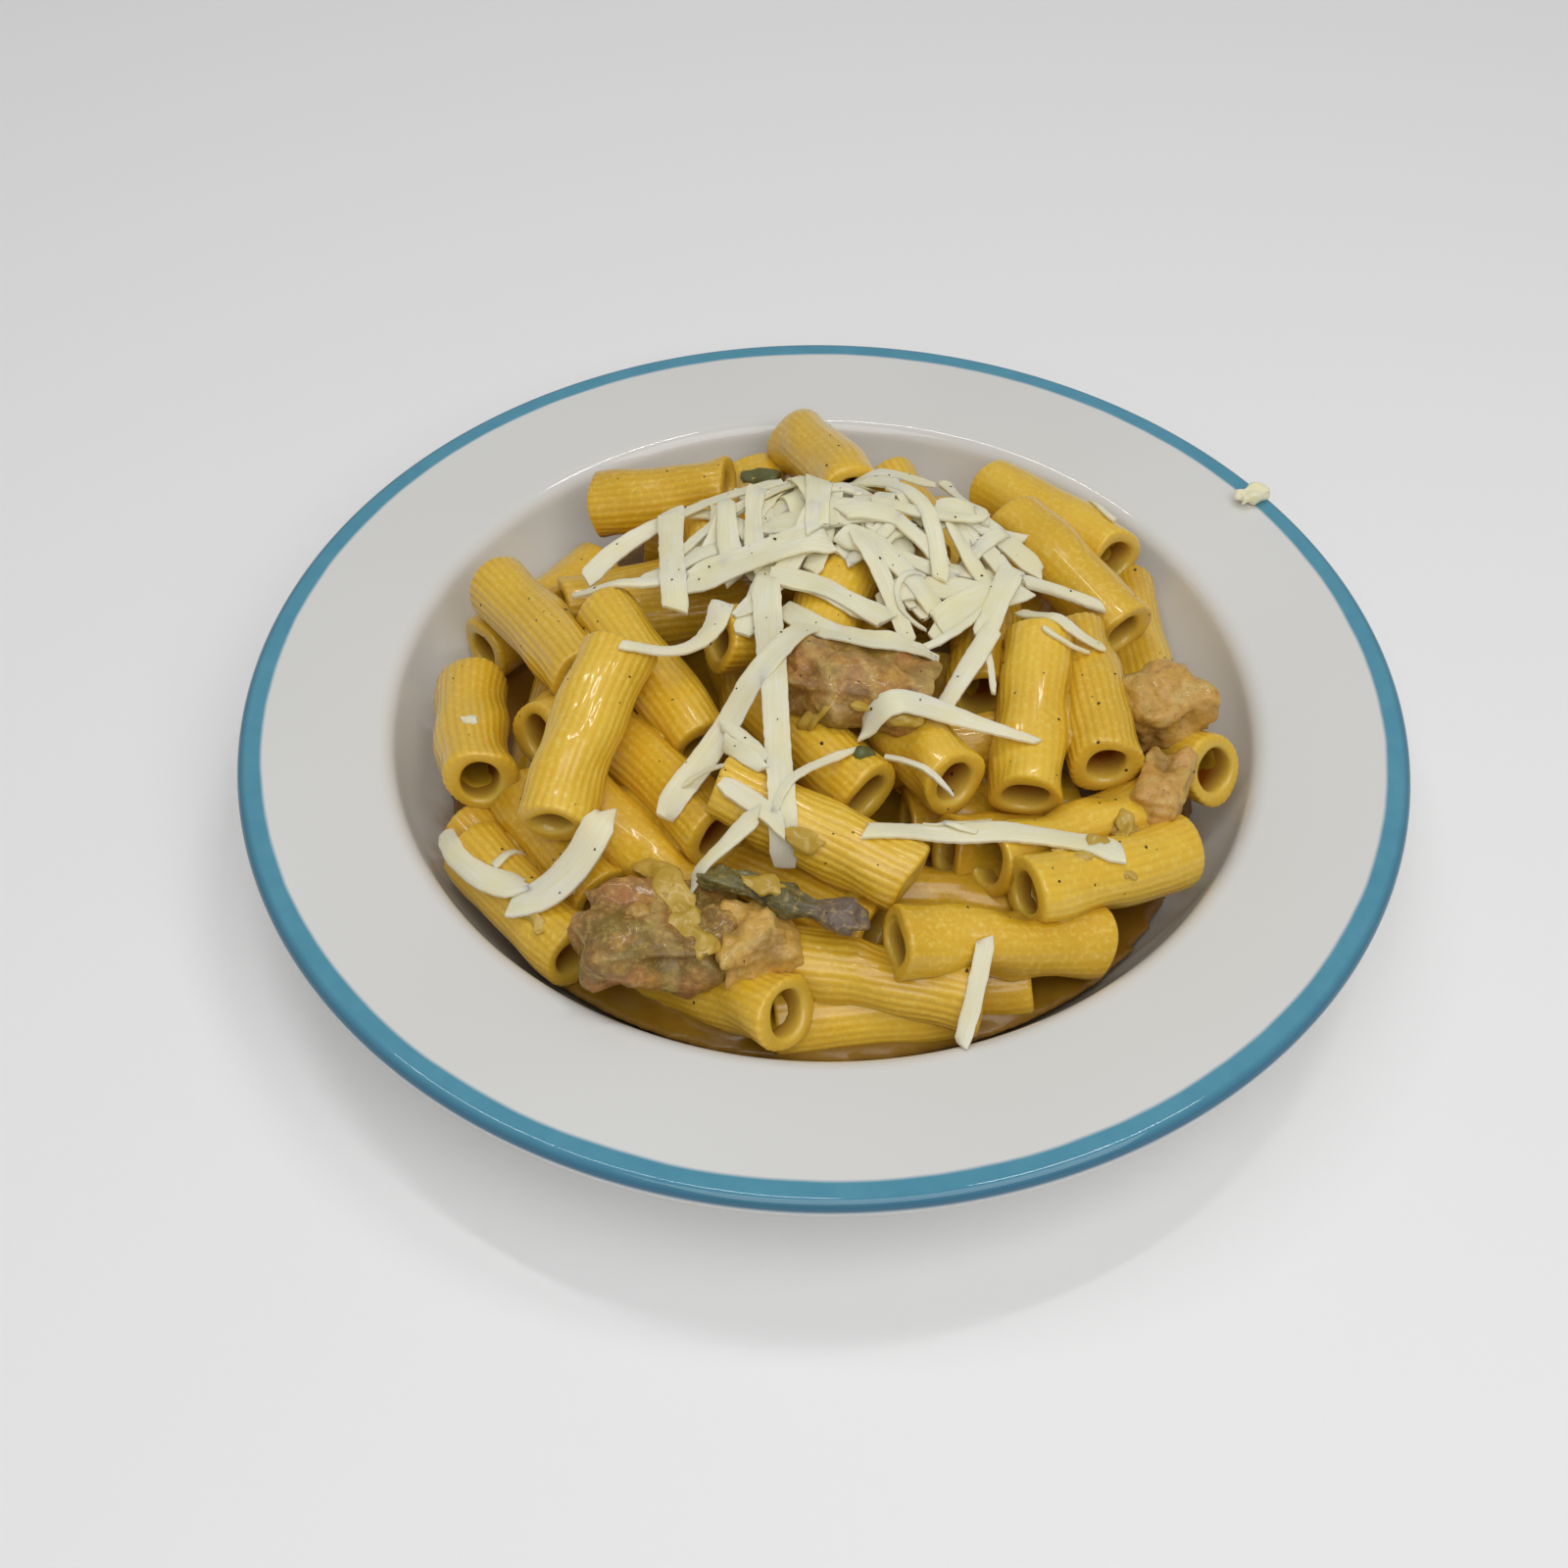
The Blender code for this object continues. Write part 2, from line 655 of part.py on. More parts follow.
def drape(stations, food, cheese):
    """Heights of the shred's two underside edges at each station, clear of what lies below."""
    edges = []
    for k, (middle, sideways, width) in enumerate(stations):
        before = stations[max(k - 1, 0)][0]
        after = stations[min(k + 1, len(stations) - 1)][0]
        pair = []
        for sign in (-1, 1):
            heights = []
            for along in (before.lerp(middle, 0.5), middle, after.lerp(middle, 0.5)):
                for share in SHRED_PROBES:
                    point = along + sideways * sign * share * width / 2
                    heights.append(surface(food, point.x, point.y, 0.0) + GAP)
                    heights.append(surface(cheese, point.x, point.y, 0.0) - SHRED_BITE)
            pair.append(max(heights))
        edges.append(pair)
    for _ in range(SHRED_ROUNDS):
        for k in range(1, len(edges) - 1):
            for side in (0, 1):
                span = (edges[k - 1][side] + edges[k + 1][side]) / 2
                edges[k][side] = max(edges[k][side], span - SHRED_SAG)
    for pair in edges:
        limit = abs(pair[0] - pair[1]) - SHRED_ROLL
        if limit > 0:
            low = 0 if pair[0] < pair[1] else 1
            pair[low] += limit
    return edges


def shred_mesh(name, stations, edges, sink=0.0):
    """A closed flat strip through the stations; sink lowers its underside for clearance tests."""
    vertices = []
    for (middle, sideways, width), pair in zip(stations, edges):
        for level in (-sink, SHRED_THICKNESS):
            for side, sign in ((0, -1), (1, 1)):
                point = middle + sideways * sign * width / 2
                vertices.append(Vector((point.x, point.y, pair[side] + level)))
    faces = [(0, 1, 3, 2)]
    for k in range(len(stations) - 1):
        near, far = 4 * k, 4 * k + 4
        for a, b in ((0, 1), (1, 3), (3, 2), (2, 0)):
            faces.append((near + b, near + a, far + a, far + b))
    end = 4 * (len(stations) - 1)
    faces.append((end + 2, end + 3, end + 1, end))
    mesh = mesh_from(name, vertices, faces)
    shape = bmesh.new()
    shape.from_mesh(mesh)
    bmesh.ops.triangulate(shape, faces=shape.faces)
    shape.to_mesh(mesh)
    shape.free()
    face_outwards(mesh)
    return mesh


def clear_shred(name, path, food, cheese):
    """A draped shred, raised wherever it would touch the food below it."""
    stations = shred_path(*path)
    edges = drape(stations, food, cheese)
    for tries in range(4 * LOCAL_TRIES):
        probe = shred_mesh(name, stations, edges, GAP)
        touching = tree_of([add_object("probe", probe)]).overlap(food)
        bpy.data.objects.remove(bpy.data.objects["probe"])
        if not touching:
            break
        raised = set()
        for face, _other in touching:
            for index in probe.polygons[face].vertices:
                raised.update((index // 4 - 1, index // 4, index // 4 + 1))
        if tries > LOCAL_TRIES:
            raised = range(len(edges))
        for k in raised:
            if 0 <= k < len(edges):
                edges[k] = [height + GAP for height in edges[k]]
    return shred_mesh(name, stations, edges)


def make_cheese(below):
    food = tree_of(below)
    finish = material("grated_cheese", (0.80, 0.74, 0.56), 0.6)
    shreds = []
    for index, path in enumerate(PILE_SHREDS):
        name = f"shred_{index:02d}"
        cheese = tree_of(shreds) if shreds else None
        shreds.append(add_object(name, clear_shred(name, path, food, cheese)))
    pile = shreds[0]
    joined(pile, shreds[1:], "UNION")
    made = split_bodies(pile, "cheese_pile")
    for name, paths in LOOSE_SHREDS:
        parts = []
        for path in paths:
            cheese = tree_of(made + parts)
            parts.append(add_object(name, clear_shred(name, path, food, cheese)))
        if len(parts) > 1:
            joined(parts[0], parts[1:], "UNION")
        keep_largest(parts[0])
        made.append(parts[0])
    made.append(make_rim_crumb())
    for piece in made:
        piece.data.materials.clear()
        piece.data.materials.append(finish)
    return made


def split_bodies(piece, name):
    """The largest body keeps the name; the others become numbered groups of shreds."""
    shape = bmesh.new()
    shape.from_mesh(piece.data)
    bodies = sorted(bodies_of(shape), key=body_span, reverse=True)
    made = []
    for number, body in enumerate(bodies):
        order = {}
        faces = []
        for face in body:
            faces.append(tuple(order.setdefault(vertex, len(order)) for vertex in face.verts))
        label = name if number == 0 else f"cheese_group_{number}"
        mesh = mesh_from(label, [vertex.co for vertex in order], faces)
        made.append(add_object(label, mesh))
    shape.free()
    bpy.data.objects.remove(piece)
    return made


def make_rim_crumb():
    """A crumb of cheese that has fallen on the rim, across the blue band."""
    mesh = chunk_mesh("cheese_crumb", CRUMB_SIZE, CRUMB_SEED)
    piece = add_object("cheese_crumb", mesh)
    angle = math.radians(CRUMB_BEARING)
    place = Matrix.Translation((CRUMB_RADIUS * math.cos(angle), CRUMB_RADIUS * math.sin(angle), 0.0))
    mesh.transform(place @ Matrix.Rotation(angle - CRUMB_TURN, 4, "Z"))
    lowest = min(vertex.co.z for vertex in mesh.vertices)
    mesh.transform(Matrix.Translation((0.0, 0.0, RIM_HEIGHT + GAP - lowest)))
    return piece


def main():
    for old in list(bpy.data.objects):
        bpy.data.objects.remove(old)
    plate = make_bowl()
    tubes = settle(laid_tubes())
    heap = make_heap(tubes)
    pork = make_pork(tubes)
    make_cheese([plate, heap, *pork])


main()
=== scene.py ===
"""Looks for a plate of rigatoni with cured pork and grated cheese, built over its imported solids.

Metres, +Z up, in the solids' own frame: the plate stands on z = 0 and the diner sits at -Y.
"""
import math
import random

import bmesh
import bpy
import numpy as np
from mathutils import Matrix, Vector, noise
from mathutils.bvhtree import BVHTree


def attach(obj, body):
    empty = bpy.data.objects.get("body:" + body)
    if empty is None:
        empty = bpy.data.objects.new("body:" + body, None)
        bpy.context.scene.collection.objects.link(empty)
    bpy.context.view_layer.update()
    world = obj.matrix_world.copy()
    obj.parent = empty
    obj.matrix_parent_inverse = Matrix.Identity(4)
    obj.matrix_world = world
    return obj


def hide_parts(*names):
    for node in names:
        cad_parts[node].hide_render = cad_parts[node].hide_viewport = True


MM = 0.001
UP = Vector((0.0, 0.0, 1.0))
# A full turn to two places, for random phases.
TURN = 6.28

# Plate: the same outline as its solid, turned finer.
RIM_RADIUS = 0.130
RIM_HEIGHT = 0.036
RIM_FALL = 0.0012
LIP_RADIUS = 0.0023
LIP_THICKNESS = 0.0046
LIP_UNDERSIDE = 0.0021
WELL_RADIUS = 0.097
WELL_ROLL = 0.005
WALL_SLOPE = math.radians(70)
WALL_CURVE = 0.034
FLOOR_HEIGHT = 0.008
SHELL = 0.0046
FOOT_INNER = 0.0575
FOOT_OUTER = 0.0635
FOOT_TAPER = 0.001
SHOULDER_ROLL = 0.003
BOWL_SEGMENTS = 256
BOWL_FINENESS = 0.000015
BAND_WIDTH = 0.0055
# How far the band's inner edge strays, how soft that edge is, the heights between which the band
# starts on the lip, and the radii between which it darkens.
BAND_STRAY = 0.00035
BAND_SOFTNESS = 0.0004
BAND_START = (RIM_HEIGHT - 0.0030, RIM_HEIGHT - 0.0018)
BAND_DARK = (RIM_RADIUS - 0.0022, RIM_RADIUS - 0.0002)
# Sauce smear and painted shade on the well's wall come in over these heights, radii and noise values,
# up to this share of their colour; at the front they reach higher, and come in over these y and heights.
SMEAR_AND_SHADE_HEIGHTS = (0.026, 0.016)
SMEAR_AND_SHADE_RADII = (0.0925, 0.089)
SMEAR_AND_SHADE_PATCHES = (0.46, 0.66)
SMEAR_AND_SHADE_SHARE = 0.8
FRONT_SMEAR_AND_SHADE_Y = (-0.045, -0.075)
FRONT_SMEAR_AND_SHADE_HEIGHTS = (0.037, 0.029)

# Rigatoni, cooked: ridged tubes with a hole right through.
TUBE_RADIUS = 0.0078
HOLE_RATIO = 0.57
LEAST_RADIUS = 0.22
RIDGES = 26
RIDGE_SAMPLES = 4
RIDGE_DEPTH = 0.00031
RIDGE_STRENGTHS = (0.3, 0.5, 0.65, 0.8, 1.0)
# How much of a tube's ridges is left where sauce covers them most, and the power that shapes the
# grooves between them.
BARE_RIDGE = 0.55
GROOVE_POWER = 0.8
# Where sauce lies on a tube: waves round it, paces along it, and how far its tone shifts them.
COAT_TURNS = 2
COAT_PACES = (90, 170)
COAT_SHIFT = 9
# The mark of painted shade that darkens a hole: its value at the mouth, and how far in it is full.
MOUTH_SHADE = 0.4
HOLE_SHADE_REACH = 0.009
OUTER_ROWS = 15
INNER_ROWS = 7
TUBE_OVAL = 0.055
HOLE_OVAL = 0.10
TUBE_BEND = 0.0013
FLARE = 0.022
FLARE_REACH = 0.005
CUT_SLANT = 0.12
CUT_WAVE = 0.0002
CUT_REACH = 0.009
LUMP_HEIGHT = 0.00026
LUMP_PACES = (120, 420)
LUMPS = 5
END_ROUND = 0.0009
# The wall's end from its outside to its inside: how far in from the cut (in END_ROUNDs), and
# which share of the way from the hole to the outside.
END_PROFILE = ((0.50, 0.965), (0.14, 0.87), (0.0, 0.73), (-0.06, 0.50), (0.0, 0.27), (0.25, 0.10), (1.0, 0.0))
# How tubes that overlap press each other flat: by which share of the overlap, how far at most and
# smoothed how often; then what is left of it at an open end, how far in it is whole, and what is left
# of it in the hole.
PRESS_SHARE = 0.50
PRESS_LIMIT = 0.0030
PRESS_PASSES = 24
PRESS_AT_END = 0.45
PRESS_REACH = 0.009
PRESS_INSIDE = 0.08
# Which tubes count as neighbours by their middles, the points that stand for a neighbour's centre
# line, and how far from it the mark of a crease reaches.
NEIGHBOUR_REACH = 0.062
CENTRE_POINTS = 36
CREASE_REACH = 0.0026

# Heap: the dome that the tubes' centre lines follow, and how they settle, as in the solids. The pull
# home keeps tubes near the photo's places, so crossing tubes are parted only part of the way.
DOME_RADIUS = 0.092
DOME_EDGE = 0.0305
DOME_RISE = 0.023
CORE_GAP = 0.0009
SETTLE_ROUNDS = 60
HOME_PULL = 0.28
FINAL_ROUNDS = 12
PART_SHARE = 0.25
LEVER = 1.2

# A lower layer of tubes shows through the gaps, over a core of sauce.
LOW_RINGS = ((0.018, 4), (0.044, 8), (0.066, 11))
LOW_DROP = 0.0155
LOW_LENGTH = 0.038
LOW_SPREAD = 70
LOW_PITCH = 8
LOW_ROUNDS = 40
LOW_LIFT = 0.06
LOW_SEED = 12
CORE_DROP = 0.024
# The bed rises by this much at the front edge, from this far out.
CORE_RISE = 0.006
CORE_FRONT = 0.035
CORE_EDGE = 0.018
CORE_RINGS = 10
CORE_SHOULDER = 2
CORE_SEGMENTS = 72

# Sauce clings as one film: tubes a little thinner than the real ones, the core and the pork are
# merged and smoothed, so that it only comes out of the creases between them.
FILM_VOXEL = 0.0012
FILM_THINNER = 0.0004
FILM_PORK = 0.0013
FILM_WALL = 0.0011
FILM_DEPTH = 0.018
FILM_SMOOTH = 9
FILM_KEPT = 0.5
FILM_GRAIN = 0.00016
FILM_FINENESS = 450.0

# Thin and thick sauce, and sauce darkened by painted shade low down, of the film and of the lumps, and the
# heights over which the painted shade comes in.
SAUCE_COLOURS = ((184, 144, 24), (210, 173, 52), (126, 88, 26))
CURD_COLOURS = ((184, 150, 50), (206, 174, 84), (154, 120, 42))
SAUCE_SHADE_HEIGHTS = (0.036, 0.020)

# Cured pork: a ball pressed towards a box and roughened, as in the solids.
CHUNK_SQUARENESS = 0.75
CHUNK_ROUGHNESS = 0.26
CHUNK_BOXINESS = 0.6
CHUNK_GRAIN = 1.6
CHUNK_STRIDE = Vector((7.3, 3.1, 1.7))
CHUNK_DETAIL = 5
FIBRE_DEPTH = 0.00042
FIBRE_LENGTH = 120.0
FIBRE_WIDTH = 620.0
RIND_SLIM = 0.8
RIND_SWELL = 0.35
RIND_HEAD = 0.7
RIND_REACH = 0.3
NUB_DEPTH = 0.0026
NUB_SIZE = 130.0
# Smaller nubs over these: how much finer, and their share of the height.
SMALLER = 3.3
LOWER = 0.35
FAT_LAYERS = 2.2
FAT_WANDER = 1.3
FAT_SIZE = 70

# How golden each chunk is, from meat to fat; the rind strip instead turns grey towards its end.
PORK_TONES = {
    "pork_front": 0.1, "pork_front_end": 1.0, "pork_rind_strip": None, "pork_middle": 0.25,
    "pork_right": 0.8, "pork_right_low": 0.75, "pork_back": 0.6,
}

# Cheese shreds.
SHRED_THICKNESS = 0.0009
SHRED_STEP = 0.005
SHRED_BITE = 0.0003
SHRED_SAG = 0.00017
SHRED_ROLL = 0.002
SHRED_PROBES = (0.0, 0.35, 0.7, 1.05)
SHRED_FINE = 0.00125
SHRED_ROUNDS = 110
PILE_BRIDGE = 0.0045
SHRED_CLEAR = 0.0002
SHRED_ACROSS = 9
SHRED_SMOOTH = 3
SHRED_LIFT = 0.0013
SHRED_CREST = 0.35
SHRED_BROAD = 0.004
# How a shred varies: how far it cups (mm), how slanting its ends are torn, how wedged and how swollen
# it is (size, waves and phase), how ragged its sides are and how much thinner they are.
SHRED_CUP = (-0.35, 0.45)
SHRED_TORN = 0.8
SHRED_TILT = 0.25
SHRED_SWELL = ((0.03, 0.14), (3, 9), (0, TURN))
SHRED_RAGGED = 0.0001
SHRED_EDGE = 0.3
# The length over which the painted mark along a shred runs from 0 to 1.
SHRED_SPAN = 0.08
# Pace of the pattern drawn on a shred, across it and along it.
SHRED_STRANDS = (9.0, 5.0)
# How a shred ends: over how many mm it narrows, and to which share of its width.
SHRED_TIPS = ((0.7, 0.85), (0.9, 0.75), (1.2, 0.7), (2.0, 0.6), (4.0, 0.45))
SHARP_EDGE = math.radians(48)
SKY = 0.15
PEPPER_COUNT = 330
PEPPER_SIZES = (0.18, 0.22, 0.28, 0.28, 0.36, 0.46)
PEPPER_REACH = 0.086
PEPPER_SEED = 4
# How far its paths stray from the vertical, how far they lean to the diner, and how flat it is.
PEPPER_STRAY = 0.6
PEPPER_LEAN = -0.2
PEPPER_FLATNESS = 0.45
CRUMB_SIZE = (9, 3.6, 2.6)
CRUMB_RADIUS = 0.1250
CRUMB_BEARING = math.radians(33)
CRUMB_TURN = math.radians(11)
CRUMB_SEED = 31
CRUMB_SINK = 0.0002

# Each tube: x, y (mm) of the end that shows best, how far that end's centre lies above the dome
# (mm), then the heading and pitch (degrees) in which the tube runs from there, and its length (mm).
TUBES = (
    (-75, 29, 1, -58, 8, 46), (-51, 12, -1, -60, -2, 45), (-43, -12, 12, -106, -16, 43),
    (-61, -22, 1, 54, -12, 34), (-79, 3, -4, -75, 8, 38), (-79, -37, -3, -40, -3, 40),
    (-46, -60, -4, 123, 3, 37), (-48, -71, -4, 127, -5, 38), (-20, -49, 0, 128, -8, 42),
    (-19, -62, -7, 144, 8, 40), (13, -68, -4, 151, 2, 42), (34, -85, -4, 167, 5, 45),
    (-3, -88, 2, 143, -20, 42), (33, -89, -8, 178, 3, 42), (16, -74, 2, 8, -18, 46),
    (46, -78, -9, 180, 8, 40), (42, -61, -2, 18, -8, 42), (34, -53, -2, 36, -10, 42),
    (18, -62, 1, 158, 6, 44), (9, -42, -1, 124, -4, 40), (28, -37, -2, 128, 0, 36),
    (49, 2, 0, -98, -10, 42), (60, -30, 3, 97, 3, 40), (38, 38, -4, -92, 1, 46),
    (41, 73, 0, -48, 1, 42), (43, 48, 1, -55, -6, 42), (70, 44, -2, -87, 0, 42),
    (89, -21, 5, 136, -30, 36), (66, -40, -3, 194, 4, 40), (-22, -2, 1, 19, -22, 40),
    (-56, 60, 1, -6, 7, 34), (-62, 29, -9, 24, 4, 40), (-30, 71, -4, -81, 14, 42),
    (-18, 84, -7, -81, 12, 40), (-8, 85, 4, -70, 16, 40), (10, -56, -8, 2, -5, 42),
    (-47, 24, -8, 20, 4, 44), (-12, 47, -5, -30, 3, 44), (-2, -6, -6, 76, 2, 44),
    (2, -22, -9, 12, 0, 44), (16, 80, -6, -64, 2, 42), (26, 30, -8, 170, 0, 40),
)

# Further tubes lie low along the wall, each turned a little off the ring's direction, wherever
# the ones above leave room.
UNDER_COUNT = 26
UNDER_RADIUS = 0.077
UNDER_HEIGHT = 0.0255
UNDER_LENGTH = 0.040
UNDER_TURN = 16
UNDER_ROOM = 1.3

# Each chunk of cured pork: name, x, y (mm), lift above the dome (mm), heading and pitch
# (degrees), and its length, width and height (mm).
CHUNKS = (
    ("pork_front", -31, -74, 6, 8, -6, 31, 20, 13),
    ("pork_front_end", -13, -75, 5, 20, 0, 16, 14, 10),
    ("pork_rind_strip", -8, -69, 9, -16, -6, 34, 6, 4),
    ("pork_middle", 7, -19, 6, -8, -4, 31, 17, 12),
    ("pork_right", 74, -9, 5, 20, 0, 18, 16, 14),
    ("pork_right_low", 72, -31, 3, 70, 0, 17, 10, 11),
    ("pork_back", 19, 30, 6, 10, 0, 12, 9, 7),
)

# Each cheese shred: x, y (mm) where it starts, the heading there, how far it turns on the way
# (degrees, positive to the left), its length, its width and its width at the far end (mm).
LOOSE_SHREDS = (
    ("cheese_curl", ((-43, -51, -104, -84, 26, 6.0, 6.0), (-59, -61, 172, -74, 31, 6.0, 3.0))),
    ("cheese_strip_right", ((9, -58, 24, -40, 54, 4.0, 5.5),)),
    ("cheese_strip_front", ((33, -76, -101, -8, 18, 3.6, 3.0),)),
)
PILE_SHREDS = (
    (-54, 20, 67, -84, 53, 4.2, 3.6), (-57, 16, -15, 24, 26, 2.4, 3.0), (26, 58, -164, 19, 27, 3.4, 3.0),
    (28, 61, -73, -2, 30, 2.9, 3.2), (10, 29, -4, 26, 27, 3.2, 2.8), (-23, 39, -88, 9, 26, 4.6, 4.4),
    (-16, 40, -95, 15, 27, 4.2, 3.8), (3, 25, 12, -59, 26, 4.2, 3.8), (6, 20, -57, -15, 29, 4.2, 3.8),
    (6, 51, -36, -55, 45, 3.8, 3.4), (25, -1, 50, -20, 25, 7.2, 6.4), (42, 20, -107, -5, 23, 5.5, 4.9),
    (44, 16, 17, -39, 19, 2.4, 2.0), (43, 9, -60, 60, 22, 3.0, 2.4), (35, -3, -80, -10, 14, 1.6, 1.0),
    (34, 5, -120, -38, 21, 1.7, 1.4), (22, 12, -179, 177, 20, 1.2, 1.0), (-31, 12, 15, -6, 33, 7.6, 6.8),
    (-36, 41, -87, 5, 36, 5.9, 5.4), (-1, 49, -94, 4, 29, 5.9, 5.6), (-12, 10, -16, -14, 28, 4.6, 4.2),
    (-9, 4, -64, 80, 40, 5.4, 6.0), (37, 1, -118, 5, 30, 4.6, 3.6), (-42, -18, 10, 80, 33, 2.2, 5.2),
    (-13, 9, -85, 0, 70, 5.7, 5.4), (-3, -6, -124, 1, 52, 5.8, 5.6), (-21, -31, -36, -37, 16, 3.4, 3.0),
    (-20, -36, -55, 13, 13, 3.8, 3.4), (7, -36, -151, 43, 26, 2.0, 1.6), (13, -37, -7, -36, 16, 1.5, 0.8),
    (8, -31, 24, -46, 38, 5.0, 1.6), (-20, -49, -35, 0, 16, 3.2, 3.0), (-12, -56, -145, 6, 17, 3.6, 3.0),
)

# Smaller shreds fill the pile under the ones above.
FILL_COUNT = 62
FILL_CENTRE = (3, 27)
FILL_SPREAD = (39, 21)
FILL_LENGTHS = (13, 34)
FILL_WIDTHS = (2.0, 6.0)
FILL_BEND = 60
FILL_TURN = 10
FILL_TIPS = (0.6, 1.1)
# A half would spread them evenly over the pile; more crowds them towards its middle.
FILL_POWER = 0.6
FILL_SEED = 3

# Small lumps on the food: x, y (mm), heading (degrees), and length, width and height (mm).
CURDS = (
    (-33, -60, -58, 13, 6, 2), (-28, -68, -62, 13, 7, 2.2), (-24, -77, -50, 10, 6, 2),
    (-44, -66, 60, 9, 5, 1.5), (-12, -68, -20, 11, 4, 1.2), (-50, -58, 100, 9, 4, 1.2),
    (63, -44, 75, 10, 4, 2.4), (52, -54, 10, 11, 5, 1.2), (60, -55, -30, 12, 5, 1.3),
    (14, -28, -10, 14, 5, 2), (0, -27, 10, 12, 5, 2), (-9, 41, 30, 6, 4, 2),
    (-58, -66, 130, 12, 6, 1.2), (-4, -58, -20, 9, 4, 1.2),
)
HERBS = ((-11, 60, 20, 8, 4, 3), (-17, 73, -30, 10, 6, 3), (81, -36, 70, 6, 3, 1.5), (9, -36, 20, 3, 1.2, 1))
MEAT_BITS = ((64, -44, 20, 5, 4, 3), (26, 37, 40, 7, 4, 3), (-36, -74, 70, 5, 4, 3))
CRUMBS = ((84, -5, 40, 3, 2, 1.6), (-76, -20, 10, 3, 2, 1))
BIT_SINK = 0.62
# Where along a lump, from its middle, it rests on what is below (a share of its length).
BIT_REST = 0.3
BIT_DETAIL = 4
BIT_BOXINESS = 0.1
BIT_TONE = 0.5

# Slivers that lie apart from the pile: on the far wall, forked off the curl and on the right strip.
SLIVERS = (
    (64, 71, -100, 40, 24, 1.3, 1.7), (-67, -55, 64, -17, 9, 1.9, 1.1), (21, -51, 5, 37, 16, 1.9, 1.2),
    (19, -47, -39, 32, 14, 1.2, 0.8), (-28, -44, 20, -60, 9, 1.2, 0.7), (47, -2, -30, 40, 11, 1.1, 0.8),
)

# Camera, light and the seeds of random draws.
CAMERA_PLACE = Vector((0.0, -0.3119, 0.3604))
CAMERA_AIM = Vector((-0.0079, -0.0278, 0.036))
SENSOR_WIDTH = 36.0
FOCAL_LENGTH = 45.9
WORLD_STRENGTH = 0.32
FLOOR_REACH = 3
# Each light: its name, place, aim, turn (degrees), size and power.
LIGHTS = (
    ("overhead", (0.17, -0.51, 0.86), (0.0, 0.0, 0.03), 0, (1.0, 0.7), 4.6),
    ("strip_right", (-0.25, 0.24, 1.20), (-0.25, 0.24, 0.0), -30, (0.66, 0.04), 1.7),
    ("strip_left", (0.34, 0.27, 1.20), (0.34, 0.27, 0.0), 30, (0.34, 0.04), 1.4),
)
TUBE_SEED = 5
SHRED_SEED = 9
FRONT_LIMIT = -0.012


def add_object(name, data):
    made = bpy.data.objects.new(name, data)
    bpy.context.scene.collection.objects.link(made)
    return made


def mesh_from(name, vertices, faces):
    mesh = bpy.data.meshes.new(name)
    mesh.from_pydata([tuple(vertex) for vertex in vertices], [], [tuple(face) for face in faces])
    mesh.update()
    return mesh


def add_piece(name, mesh, *materials):
    """A smooth-shaded object in the scene with these materials."""
    piece = add_object(name, mesh)
    mesh.materials.clear()
    for entry in materials:
        mesh.materials.append(entry)
    if "sharp_edge" not in mesh.attributes:
        mesh.shade_smooth()
    return piece


def quad_mesh(name, points, quads, marks=None):
    """A mesh from arrays: points (n, 3), quads (m, 4) and, for each point, four values to paint by."""
    mesh = bpy.data.meshes.new(name)
    mesh.vertices.add(len(points))
    mesh.vertices.foreach_set("co", np.ascontiguousarray(points, np.float32).ravel())
    mesh.loops.add(quads.size)
    mesh.loops.foreach_set("vertex_index", np.ascontiguousarray(quads, np.int32).ravel())
    mesh.polygons.add(len(quads))
    mesh.polygons.foreach_set("loop_start", np.arange(0, quads.size, 4, dtype=np.int32))
    mesh.update(calc_edges=True)
    if marks is not None:
        paint(mesh, marks)
    return mesh


def joined(name, parts):
    """One mesh of several parts, each its points, its quads and its marks."""
    points, quads, marks = zip(*parts)
    firsts = np.cumsum([0, *map(len, points[:-1])])
    quads = [rows + first for rows, first in zip(quads, firsts)]
    mesh = quad_mesh(name, np.concatenate(points), np.concatenate(quads), np.concatenate(marks))
    face_outwards(mesh)
    return mesh


def paint(mesh, marks):
    """Store four values for each vertex, for the materials to read as a colour and its alpha."""
    layer = mesh.color_attributes.new("mark", "FLOAT_COLOR", "POINT")
    layer.data.foreach_set("color", np.ascontiguousarray(marks, np.float32).ravel())


def paint_upside(mesh):
    """Mark what faces up with 1 and the rest with 0, so that no sauce or painted shade goes under the plate.
    """
    upside = (points_of(mesh)[1][:, 2] > 0).astype(np.float32)
    paint(mesh, np.repeat(upside[:, None], 4, 1))


def ring_quads(rows, columns, close_rows):
    """Quads of a grid whose columns, and rows if asked, join up with the first again."""
    row = np.arange(rows if close_rows else rows - 1)[:, None]
    column = np.arange(columns)[None, :]
    after_row = (row + 1) % rows
    after = (column + 1) % columns
    corners = ((row, column), (row, after), (after_row, after), (after_row, column))
    grids = [np.broadcast_to(r * columns + c, (len(row), columns)) for r, c in corners]
    return np.stack([grid.ravel() for grid in grids], 1)


